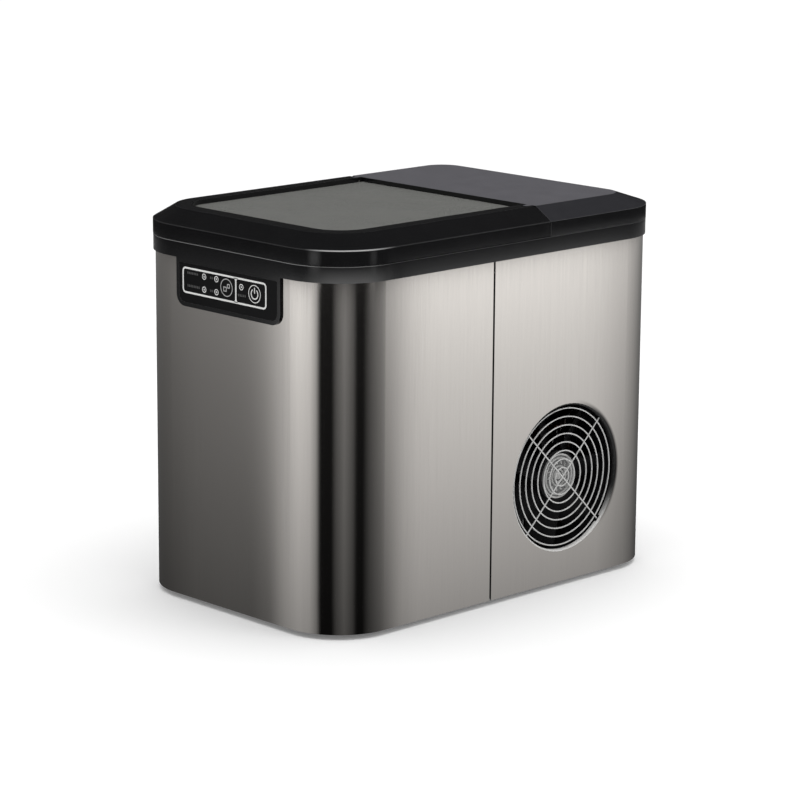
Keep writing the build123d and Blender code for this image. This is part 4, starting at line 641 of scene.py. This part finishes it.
# Electronics. Two green circuit boards: the mains board on a zinc plate over the compressor,
# and a small one behind the keys.
board_lacquer = celled("board_lacquer", (0.012, 0.10, 0.035), (0.03, 0.19, 0.07), 420.0, 0.10, 0.25, 0.28,
                       0.25)
part_black = grained("part_black", (0.02, 0.02, 0.022), (0.04, 0.04, 0.043), 0.35, depth=0.3)
dress("board_bracket", zinc_plate)
MAIN_BOARD_T = 0.0017            # its parts stand behind it
CONTROL_Y0, CONTROL_Y1 = 0.0032, 0.0012     # the small board's faces, from its rearmost part
for board in ("main_board", "control_board"):
    dress(board, board_lacquer)
main_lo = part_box("main_board")[0]
refinish(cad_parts["main_board"], part_black, lambda middle, normal: middle.y > main_lo.y + MAIN_BOARD_T)
control_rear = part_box("control_board")[1].y
refinish(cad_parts["control_board"], part_black,
         lambda middle, normal: not control_rear - CONTROL_Y0 <= middle.y <= control_rear - CONTROL_Y1)

# Steel. Two folded sheets of brushed stainless meet at an upright joint on each side; the rear
# sheet's faces in the joint are painted black as shade. The rear one rolls inward round the fan's
# opening, with painted shade round the opening and a painted highlight on the lip.
STEEL_STRETCH = (1.0, 1.0, 0.012)
brushed_steel = grained("brushed_steel", (0.66, 0.63, 0.597), (0.625, 0.596, 0.566), 0.075, 0.03, 900.0,
                        2600.0, 0.005, STEEL_STRETCH, 1.0)
# Black finish on the rear sheet's faces inside the joint: painted shade in the joint.
seam_painted_shade = grained("seam_painted_shade", (0.008, 0.008, 0.008), (0.014, 0.014, 0.014), 0.75, depth=0.4, specular=0.1)
SEAM_GAP = 0.0018        # the joint's black painted shade shows between the two sheets
finished("front_shell", "cabinet", brushed_steel, 0.0003)
rear_steel = merged_copy("rear_shell", brushed_steel)
refinish(rear_steel, seam_painted_shade, lambda middle, normal: middle.y < wall_hi.y + SEAM_GAP + 0.0001)
# Pale, less metallic finish for the rolled lip round the fan's opening: a painted highlight, with painted
# shade laid over its upper side below.
rolled_lip_painted_light = grained("rolled_lip_painted_light", (0.70, 0.695, 0.68), (0.80, 0.795, 0.78), 0.35, 0.1, 60.0, 1200.0, 0.1,
                      metal=0.2)
FAN_OPENING_R = 0.05825
RIM_SHADE_REACH = 0.0035         # how far out from the opening the painted shade reaches
FAN_SIDE_X = 0.1         # the opening is in the side beyond this
fan_lo, fan_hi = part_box("fan_frame")
fan_y, fan_z = (fan_lo.y + fan_hi.y) / 2, (fan_lo.z + fan_hi.z) / 2


def object_axes(tree):
    """The place in the machine as a vector socket, and the node that parts it into X, Y and Z."""
    where = tree.nodes.new("ShaderNodeTexCoord")
    apart = tree.nodes.new("ShaderNodeSeparateXYZ")
    tree.links.new(where.outputs["Object"], apart.inputs[0])
    return where.outputs["Object"], apart.outputs


def make_rim_shade_group():
    """Painted shade round the fan's opening, where the sheet dips into it, on the side that Direction points
    to.
    """
    group, given, end = new_group(
        "opening_rim_painted_shade",
        [("Colour", COLOUR, (0.5, 0.5, 0.5, 1)), ("Direction", VECTOR, (0, 1, 0)),
         ("Turn Start", NUMBER, 0.2), ("Turn End", NUMBER, 0.9)],
        [("Colour", COLOUR)])
    where, axes = object_axes(group)
    offset = vector_node(group, "SUBTRACT", where, (0, fan_y, fan_z))
    offset = vector_node(group, "MULTIPLY", offset, (0, 1, 1))
    radius = vector_node(group, "LENGTH", offset, (0, 0, 0))
    near = ramp_node(group, radius, FAN_OPENING_R, FAN_OPENING_R + RIM_SHADE_REACH, 1.0, 0.0, smooth=True)
    towards = vector_node(group, "DOT_PRODUCT", offset, given["Direction"])
    turned = ramp_node(group, math_node(group, "DIVIDE", towards, radius), given["Turn Start"],
                       given["Turn End"], smooth=True)
    fan_side = math_node(group, "GREATER_THAN", axes["X"], FAN_SIDE_X)
    share = math_node(group, "MULTIPLY", math_node(group, "MULTIPLY", near, turned), fan_side)
    painted_shade_colour = group.nodes.new("ShaderNodeRGB")
    painted_shade_colour.outputs[0].default_value = (0.02, 0.02, 0.02, 1)
    feed(group, end, {"Colour": colour_between(group, share, given["Colour"], painted_shade_colour.outputs[0])})
    return group


rim_shade_group = make_rim_shade_group()


def tint_over(material, group, values):
    """Lays a group that changes colour over the colour that the material has so far."""
    tree = material.node_tree
    base = tree.nodes["Principled BSDF"].inputs["Base Color"]
    effect = group_node(tree, group, {"Colour": base.links[0].from_socket, **values})
    tree.links.new(effect.outputs["Colour"], base)


# Painted shade on the brushed steel round the fan's opening, and on the rolled lip's upper side.
PAINTED_RIM_SHADES = [(brushed_steel, radians(15), 0.35, 0.95), (rolled_lip_painted_light, radians(50), -0.25, 0.45)]
for material, turn_by, turn_start, turn_end in PAINTED_RIM_SHADES:
    tint_over(material, rim_shade_group, {"Direction": (0, cos(turn_by), sin(turn_by)), "Turn Start": turn_start,
                                    "Turn End": turn_end})
refinish(rear_steel, rolled_lip_painted_light, lambda middle, normal: middle.x > fan_hi.x and abs(normal.x) < 0.99
         and hypot(middle.y - fan_y, middle.z - fan_z) < FAN_OPENING_R)
round_edges(rear_steel, 0.0003)
place_piece(rear_steel, "cabinet", "rear_shell")

# Fan guard. Eight rings of bright round wire are spot-welded to four straight ones that cross
# in the middle, pass through the notches in the steel's lip and end in eyes at the screws.
GUARD_WIRE = 0.00055
guard_lo, guard_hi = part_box("fan_guard")
badge_lo, badge_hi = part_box("hub_badge")
GUARD_Y, GUARD_Z = (badge_lo.y + badge_hi.y) / 2, (badge_lo.z + badge_hi.z) / 2
INNER_RING_R, RING_COUNT, RING_TO_EYE = 0.0073, 8, 0.02025
EYE_R, EYE_WIDTH, SPOKE_STOP = 0.003, 0.0075, 0.004      # the spokes stop that far before the eyes
RING_X = guard_lo.x + 0.00075
EYE_REACH = (guard_hi.y - guard_lo.y - EYE_WIDTH) / 2 * 2 ** 0.5
OUTER_RING_R = EYE_REACH - RING_TO_EYE
bright_wire = grained("bright_wire", (0.80, 0.80, 0.79), (0.66, 0.66, 0.65), 0.3, 0.1, 90.0, 1200.0, 0.08,
                      metal=0.3, specular=0.6)


def upright_ring(radius, wire, place, sides=96):
    """A ring of round wire that faces out of the machine's side."""
    bpy.ops.mesh.primitive_torus_add(major_radius=radius, minor_radius=wire, major_segments=sides,
                                     minor_segments=10, location=place, rotation=(0, pi / 2, 0))
    return bpy.context.object


def straight_wire(start, end, wire):
    start, end = Vector(start), Vector(end)
    turn_to = (end - start).to_track_quat("Z", "Y").to_euler()
    bpy.ops.mesh.primitive_cylinder_add(vertices=12, radius=wire, depth=(end - start).length,
                                        location=(start + end) / 2, rotation=turn_to)
    return bpy.context.object


def join_parts(parts, name, material=None):
    """Several modelled parts as one piece, with its place in its mesh, and in one finish if given."""
    bpy.ops.object.select_all(action="DESELECT")
    for part in parts:
        part.select_set(True)
    bpy.context.view_layer.objects.active = parts[0]
    if len(parts) > 1:
        bpy.ops.object.join()
    piece = bpy.context.object
    settle()
    edit_whole()
    bpy.ops.mesh.normals_make_consistent(inside=False)
    close_edit()
    bpy.ops.object.shade_smooth_by_angle(angle=radians(35))
    piece.name = name
    if material:
        piece.data.materials.clear()
        piece.data.materials.append(material)
    return piece


wires = []
for ring in range(RING_COUNT):
    radius = INNER_RING_R + (OUTER_RING_R - INNER_RING_R) * ring / (RING_COUNT - 1)
    wires.append(upright_ring(radius, GUARD_WIRE, (RING_X, GUARD_Y, GUARD_Z)))
cross_x = RING_X + GUARD_WIRE
for turn_by in (45, 135, 225, 315):
    out_y, out_z = cos(radians(turn_by)), sin(radians(turn_by))
    eye = (RING_X, GUARD_Y + EYE_REACH * out_y, GUARD_Z + EYE_REACH * out_z)
    stop = EYE_REACH - SPOKE_STOP
    near_eye = (cross_x, GUARD_Y + stop * out_y, GUARD_Z + stop * out_z)
    wires.append(straight_wire((cross_x, GUARD_Y, GUARD_Z), near_eye, GUARD_WIRE))
    wires.append(upright_ring(EYE_R, GUARD_WIRE, eye, 24))
guard = join_parts(wires, "guard_wires", bright_wire)
place_piece(guard, "cabinet", "fan_guard")

# Hub badge. A stamped bright disc bonded to the rotor's hub, with stepped rings and a wreath
# of small leaves.
badge_metal = grained("badge_metal", (0.72, 0.72, 0.71), (0.42, 0.42, 0.41), 0.3, 0.15, 160.0, 1400.0, 0.2,
                      metal=0.35)
badge_ground = grained("badge_ground", (0.10, 0.10, 0.10), (0.22, 0.22, 0.22), 0.45, 0.15, 260.0, 1400.0, 0.3)
BADGE_R, BADGE_T = (badge_hi.y - badge_lo.y) / 2, badge_hi.x - badge_lo.x


def select_faces(mesh_object, chosen):
    bpy.ops.object.mode_set(mode="EDIT")
    bpy.ops.mesh.select_mode(type="FACE")
    bpy.ops.mesh.select_all(action="DESELECT")
    close_edit()
    for face in mesh_object.data.polygons:
        face.select = chosen(face)
    bpy.ops.object.mode_set(mode="EDIT")


RELIEF, SLOPE = 0.0007, 0.0003       # height of the steps and width of their sloping sides
LEAF_COUNT, WREATH_R = 14, 0.0108
bpy.ops.object.select_all(action="DESELECT")
bpy.ops.mesh.primitive_cylinder_add(vertices=72, radius=BADGE_R, depth=BADGE_T, rotation=(0, pi / 2, 0),
                                    location=(badge_lo.x + BADGE_T / 2, GUARD_Y, GUARD_Z))
disc = bpy.context.object
settle()
select_faces(disc, lambda face: face.normal.x > 0.9)
for inset, step in ((0.0012, -RELIEF), (0.0010, RELIEF), (0.0010, -RELIEF), (0.0050, RELIEF),
                    (0.0010, -RELIEF), (0.0012, RELIEF), (0.0010, -RELIEF), (0.0012, RELIEF)):
    bpy.ops.mesh.inset(thickness=inset)
    bpy.ops.mesh.inset(thickness=SLOPE)
    bpy.ops.transform.translate(value=(step, 0, 0))
close_edit()
disc.data.materials.append(badge_metal)
refinish(disc, badge_ground, lambda middle, normal: normal.x > 0.9 and middle.x < badge_hi.x - RELIEF / 2)
badge_parts = [disc]
for step in range(LEAF_COUNT):
    turn_by = 2 * pi * step / LEAF_COUNT
    place = (badge_hi.x - RELIEF * 0.7, GUARD_Y + WREATH_R * cos(turn_by), GUARD_Z + WREATH_R * sin(turn_by))
    bpy.ops.mesh.primitive_uv_sphere_add(segments=12, ring_count=8, radius=0.0010, location=place,
                                         rotation=(turn_by + 0.6, 0, 0), scale=(0.7, 2.0, 0.8))
    leaf = bpy.context.object
    leaf.data.materials.append(badge_metal)
    badge_parts.append(leaf)
badge = join_parts(badge_parts, "stamped_badge")
place_piece(badge, "fan", "hub_badge")

# Drain and power inlet. Both are black mouldings that clip into the steel; the inlet holds
# three nickel blades, and the plug has a ribbed rim for the fingers.
drain_plastic = grained("drain_plastic", (0.012, 0.012, 0.013), (0.022, 0.022, 0.024), 0.4, depth=0.3)
finished("drain_bezel", "cabinet", drain_plastic, 0.0003)
finished("drain_spout", "cabinet", drain_plastic, 0.0002)
finished("drain_plug", "plug", drain_plastic, 0.0003)
inlet = merged_copy("power_inlet", drain_plastic)
inlet_lo, inlet_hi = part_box("power_inlet")
inlet_x, inlet_z = (inlet_lo.x + inlet_hi.x) / 2, (inlet_lo.z + inlet_hi.z) / 2
BLADES_X, BLADES_Z = 0.0085, 0.0045          # half the room round the blades
BLADES_Y0, BLADES_Y1 = 0.0185, 0.007         # their ends, from the inlet's face
refinish(inlet, nickel, lambda middle, normal: abs(middle.x - inlet_x) < BLADES_X
         and abs(middle.z - inlet_z) < BLADES_Z and BLADES_Y1 < inlet_hi.y - middle.y < BLADES_Y0)
round_edges(inlet, 0.00015)
place_piece(inlet, "cabinet", "power_inlet")

# Top frame and control tongue: one black moulding that closes the steel's upper edge. Its upper
# edge and its right front corner carry painted highlights, and its rounded edges a lighter painted highlight
# finish.
CORNER_X0, CORNER_X1 = 0.078, 0.100      # where the corner's painted highlight sets in, to the side
CORNER_Y0, CORNER_Y1 = 0.115, 0.150      # and towards the front
FRONT_Y0, FRONT_Y1 = 0.165, 0.177        # where the front's painted highlight sets in


def make_highlight_line_group():
    """A painted highlight: a lighter line at one height, with a strength each for the right front corner, the
    front and all round.
    """
    group, given, end = new_group(
        "painted_highlight_line",
        [("Colour", COLOUR, (0.01, 0.01, 0.01, 1)),
         ("Highlight Colour", COLOUR, (0.5, 0.5, 0.5, 1)),
         ("Height", NUMBER, 0.28), ("Reach", NUMBER, 0.001),
         ("Corner", NUMBER, 1.0), ("Front", NUMBER, 0.0), ("Round", NUMBER, 0.0)],
        [("Colour", COLOUR)])
    where, axes = object_axes(group)
    forwards = math_node(group, "MULTIPLY", axes["Y"], -1.0)
    corner = math_node(group, "MULTIPLY",
                       ramp_node(group, axes["X"], CORNER_X0, CORNER_X1, smooth=True),
                       ramp_node(group, forwards, CORNER_Y0, CORNER_Y1, smooth=True))
    front = ramp_node(group, forwards, FRONT_Y0, FRONT_Y1, smooth=True)
    amount = math_node(group, "MULTIPLY", corner, given["Corner"])
    amount = math_node(group, "MAXIMUM", amount, math_node(group, "MULTIPLY", front, given["Front"]))
    amount = math_node(group, "MAXIMUM", amount, given["Round"])
    off = math_node(group, "ABSOLUTE", math_node(group, "SUBTRACT", axes["Z"], given["Height"]), 0.0)
    near = ramp_node(group, math_node(group, "DIVIDE", off, given["Reach"]), 0.0, 1.0, 1.0, 0.0)
    share = math_node(group, "MULTIPLY", near, amount)
    feed(group, end, {"Colour": colour_between(group, share, given["Colour"], given["Highlight Colour"])})
    return group


highlight_line_group = make_highlight_line_group()


def paint_highlight_line(material, tone, height, reach, corner, front=0.0, all_round=0.0):
    tint_over(material, highlight_line_group, {"Highlight Colour": (tone, tone, tone, 1), "Height": height, "Reach": reach,
                                    "Corner": corner, "Front": front, "Round": all_round})


frame_black = grained("frame_black", (0.0045, 0.0045, 0.005), (0.007, 0.007, 0.0075), 0.05, 0.03, 40.0,
                      1200.0, 0.02, specular=0.35)
# Lighter finish for rounded edges: a painted highlight along them.
edge_painted_highlight = grained("edge_painted_highlight", (0.045, 0.045, 0.047), (0.08, 0.08, 0.082), 0.25, 0.1, 60.0, 900.0,
                        0.05)
# Painted highlights on the frame: a broad lighter patch low on its right front corner, and a thin light line
# along its upper edge, strongest at the front.
paint_highlight_line(frame_black, 0.10, STEEL_TOP, 0.0125, 1.0)
paint_highlight_line(frame_black, 0.55, BAND_TOP, 0.0006, 0.5, 0.7, 0.12)
top = merged_copy("top_frame", frame_black)
round_edges(top, 0.0004, edge_painted_highlight)
place_piece(top, "cabinet", "top_frame")

# Control film. A thin printed foil in the tongue's shallow bed, with five light guides. The
# print is silver: a frame in two fields, rings round keys and lights, and small legends.
film_black = grained("film_black", (0.0035, 0.0035, 0.004), (0.006, 0.006, 0.0065), 0.3, 0.05, 30.0, 1500.0,
                     0.03, specular=0.15)
light_guide = grained("light_guide", (0.60, 0.60, 0.60), (0.70, 0.70, 0.70), 0.25, 0.1, 200.0, 900.0, 0.1)
PRINT_FINISH = (0.45, 0.1, 150.0, 2500.0, 0.1)
silver_print = grained("silver_print", (0.80, 0.80, 0.79), (0.88, 0.88, 0.87), *PRINT_FINISH)
ring_print = grained("ring_print", (0.46, 0.46, 0.46), (0.55, 0.55, 0.55), *PRINT_FINISH)
faint_print = grained("faint_print", (0.07, 0.07, 0.07), (0.10, 0.10, 0.10), *PRINT_FINISH)
dark_well = grained("dark_well", (0.012, 0.012, 0.012), (0.02, 0.02, 0.02), 0.4, 0.1, 150.0, 2500.0, 0.1)
dress("control_film", film_black)
dress("leds", light_guide)
film_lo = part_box("control_film")[0]
PRINT_T = 0.00006
PRINT_LIFT = 0.00001     # keeps rings and wells just clear of the film's face


def printed(parts, name, material, front_y, body):
    """Flat shapes as one print of even thickness standing on a face that looks at -Y."""
    piece = join_parts(parts, name, material)
    edit_whole()
    bpy.ops.mesh.extrude_region_move(TRANSFORM_OT_translate={"value": (0, -PRINT_T, 0)})
    bpy.ops.mesh.select_all(action="SELECT")
    bpy.ops.transform.translate(value=(0, front_y, 0))
    bpy.ops.mesh.normals_make_consistent(inside=False)
    close_edit()
    place_piece(piece, body)
    return piece


def flat_bar(x0, x1, z0, z1):
    bpy.ops.object.select_all(action="DESELECT")
    middle = ((x0 + x1) / 2, 0, (z0 + z1) / 2)
    bpy.ops.mesh.primitive_plane_add(size=1, rotation=(pi / 2, 0, 0), location=middle)
    bpy.context.object.scale = (x1 - x0, z1 - z0, 1)
    settle()
    return bpy.context.object


def flat_disc(x, z, radius, width=None, sides=48):
    """A disc, or with a width a ring, drawn in the panel's plane."""
    bpy.ops.object.select_all(action="DESELECT")
    bpy.ops.mesh.primitive_circle_add(vertices=sides, radius=radius, fill_type="NGON",
                                      rotation=(pi / 2, 0, 0), location=(x, 0, z))
    shape = bpy.context.object
    settle()
    if width:
        open_middle(width)
    return shape


def open_middle(width):
    """Leaves a rim of the given width of the face that is being edited."""
    edit_whole()
    bpy.ops.mesh.inset(thickness=width)
    bpy.ops.mesh.delete(type="FACE")
    close_edit()


def flat_frame(x0, x1, z0, z1, corner_r, width):
    shape = flat_bar(x0, x1, z0, z1)
    edit_whole()
    bpy.ops.mesh.bevel(offset=corner_r, segments=8, affect="VERTICES")
    close_edit()
    open_middle(width)
    return shape


def flat_divider(x, z0, z1, width, flare):
    """Upright bar that widens where it meets the frame."""
    bpy.ops.object.select_all(action="DESELECT")
    bpy.ops.mesh.primitive_grid_add(x_subdivisions=1, y_subdivisions=16, size=1, rotation=(pi / 2, 0, 0),
                                    location=(x, 0, (z0 + z1) / 2))
    shape = bpy.context.object
    shape.scale = (width, z1 - z0, 1)
    settle()
    for corner in shape.data.vertices:
        near = min(corner.co.z - z0, z1 - corner.co.z) / (z1 - z0)
        corner.co.x = x + (corner.co.x - x) * (1 + flare * max(0.0, 1 - near / 0.14) ** 2)
    return shape


PRINT_X0, PRINT_X1, PRINT_Z0, PRINT_Z1 = -0.0506, 0.0430, 0.2397, 0.2595
LINE = 0.0014
DIVIDER_X = 0.0094
frame_line = [flat_frame(PRINT_X0, PRINT_X1, PRINT_Z0, PRINT_Z1, 0.0035, LINE),
              flat_divider(DIVIDER_X, PRINT_Z0 + LINE * 0.5, PRINT_Z1 - LINE * 0.5, 0.0014, 2.4)]
printed(frame_line, "print_frame", silver_print, film_lo.y, "cabinet")

LIGHTS = [(-0.0260, 0.2548), (-0.0122, 0.2548), (-0.0260, 0.2451), (-0.0122, 0.2451), (0.0155, 0.2528)]
LIGHT_RING_R, LIGHT_WELL_R = 0.0023, 0.0016
printed([flat_disc(x, z, LIGHT_RING_R, 0.0006, 32) for x, z in LIGHTS], "light_rings", silver_print,
        film_lo.y - PRINT_LIFT, "cabinet")
printed([flat_disc(x, z, LIGHT_WELL_R, 0.0008, 24) for x, z in LIGHTS], "light_wells", dark_well,
        film_lo.y - PRINT_LIFT, "cabinet")

LETTER_PITCH, LETTER_W, LETTER_HALF_H = 0.0018, 0.0012, 0.0009
legends = []
for x0, z, letters in ((-0.0450, 0.2554, 7), (-0.0450, 0.2457, 8), (-0.0192, 0.2550, 2), (-0.0192, 0.2453, 2),
                       (0.0120, 0.2466, 5)):
    for letter in range(letters):
        left = x0 + letter * LETTER_PITCH
        legends.append(flat_bar(left, left + LETTER_W, z - LETTER_HALF_H, z + LETTER_HALF_H))
printed(legends, "print_legends", faint_print, film_lo.y, "cabinet")

# Keys. Two black keys show through the film; each bears a printed ring and its sign, two ice
# cubes on the left one and the standby sign on the right one.
SELECT_X, SELECT_Z, POWER_X, POWER_Z = -0.0007, 0.2501, 0.0302, 0.2497
KEY_RING_R, KEY_RING_W = 0.0067, 0.0006
key_black = grained("key_black", (0.0035, 0.0035, 0.004), (0.006, 0.006, 0.0065), 0.28, 0.05, 40.0, 1400.0,
                    0.04, specular=0.15)
finished("select_button", "select_key", key_black, 0.0002)
finished("power_button", "power_key", key_black, 0.0002)
KEY_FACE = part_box("select_button")[0].y
CUBE_R, CUBE_LINE = 0.0005, 0.0007
cubes = [flat_disc(SELECT_X, SELECT_Z, KEY_RING_R, KEY_RING_W, 64)]
for x0, x1, z0, z1 in ((-0.0035, 0.0001, -0.0031, 0.0006), (0.0006, 0.0037, -0.0003, 0.0030)):
    cubes.append(flat_frame(SELECT_X + x0, SELECT_X + x1, SELECT_Z + z0, SELECT_Z + z1, CUBE_R, CUBE_LINE))
printed(cubes, "select_sign", ring_print, KEY_FACE, "select_key")


def open_ring(x, z, radius, width, gap_angle):
    """The standby sign's ring, open at the top."""
    ring = flat_disc(x, z, radius, width, 60)
    select_faces(ring, lambda face: face.center.z > z and abs(face.center.x - x) < radius * sin(gap_angle))
    bpy.ops.mesh.delete(type="FACE")
    close_edit()
    return ring


SIGN_R, SIGN_LINE, SIGN_TOP = 0.0041, 0.0009, 0.0047
standby = [flat_disc(POWER_X, POWER_Z, KEY_RING_R, KEY_RING_W, 64),
           open_ring(POWER_X, POWER_Z, SIGN_R, SIGN_LINE, radians(34)),
           flat_bar(POWER_X - SIGN_LINE / 2, POWER_X + SIGN_LINE / 2, POWER_Z + 0.0004, POWER_Z + SIGN_TOP)]
printed(standby, "standby_sign", silver_print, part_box("power_button")[0].y, "power_key")

# Lid. A glossy black frame that turns on two steel pins in the rear cover's ears, with a
# smoked pane let into it flush with the step behind.
LID_GLOSS = ((0.0055, 0.0055, 0.006), (0.008, 0.008, 0.0085), 0.05, 0.03, 40.0, 1200.0, 0.015)
lid_black = grained("lid_black", *LID_GLOSS, specular=0.4)
# A copy of the lid's finish with a painted highlight: a thin light line along the top of its wall at the
# right front corner, and faintly all round.
lid_black_highlighted = grained("lid_black_painted_highlight", *LID_GLOSS, specular=0.4)
paint_highlight_line(lid_black_highlighted, 0.60, LID_WALL_TOP, 0.0006, 1.0, 0.0, 0.04)
lid = merged_copy("lid_frame", lid_black_highlighted)
round_edges(lid, 0.0004, edge_painted_highlight)
place_piece(lid, "lid", "lid_frame")
smoked = see_through(grained("smoked_pane", (0.205, 0.207, 0.196), (0.222, 0.224, 0.212), 0.2, 0.05, 25.0,
                             900.0, 0.03, specular=0.35), 0.12, 1.5)
pane = merged_copy("lid_window", smoked)
round_edges(pane, 0.0002)
place_piece(pane, "lid", "lid_window")
dress("lid_hinge_pins", pin_steel)

# Rear cover. The same gloss black on its walls, a fine matt texture on top; the top and its slopes are
# painted lighter as painted light, and its rounded edges carry a painted highlight. Four screws hold it from
# below.
cover_matt_painted_light = grained("cover_matt_painted_light", (0.097, 0.095, 0.106), (0.116, 0.114, 0.126), 0.55, 0.1, 60.0, 1500.0, 0.3,
                     specular=0.35)
cover_slope_painted_light = grained("cover_slope_painted_light", (0.022, 0.022, 0.026), (0.030, 0.030, 0.034), 0.4, 0.1, 60.0, 1500.0,
                      0.2, specular=0.3)
cover = merged_copy("rear_cover", lid_black)
cover_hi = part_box("rear_cover")[1]
COVER_SLOPE_H = 0.0105
LEVEL = 0.97             # a face whose normal rises more than this is level
# The top and its sloping edges are painted lighter than the walls, the top most, to paint the light that
# falls on them.
refinish(cover, cover_matt_painted_light, lambda middle, normal: normal.z > LEVEL and middle.z > cover_hi.z - 0.001)
refinish(cover, cover_slope_painted_light,
         lambda middle, normal: 0.3 < normal.z <= LEVEL and middle.z > cover_hi.z - COVER_SLOPE_H)
round_edges(cover, 0.0004, edge_painted_highlight)
place_piece(cover, "cabinet", "rear_cover")
dress("cover_screws", zinc_plate)
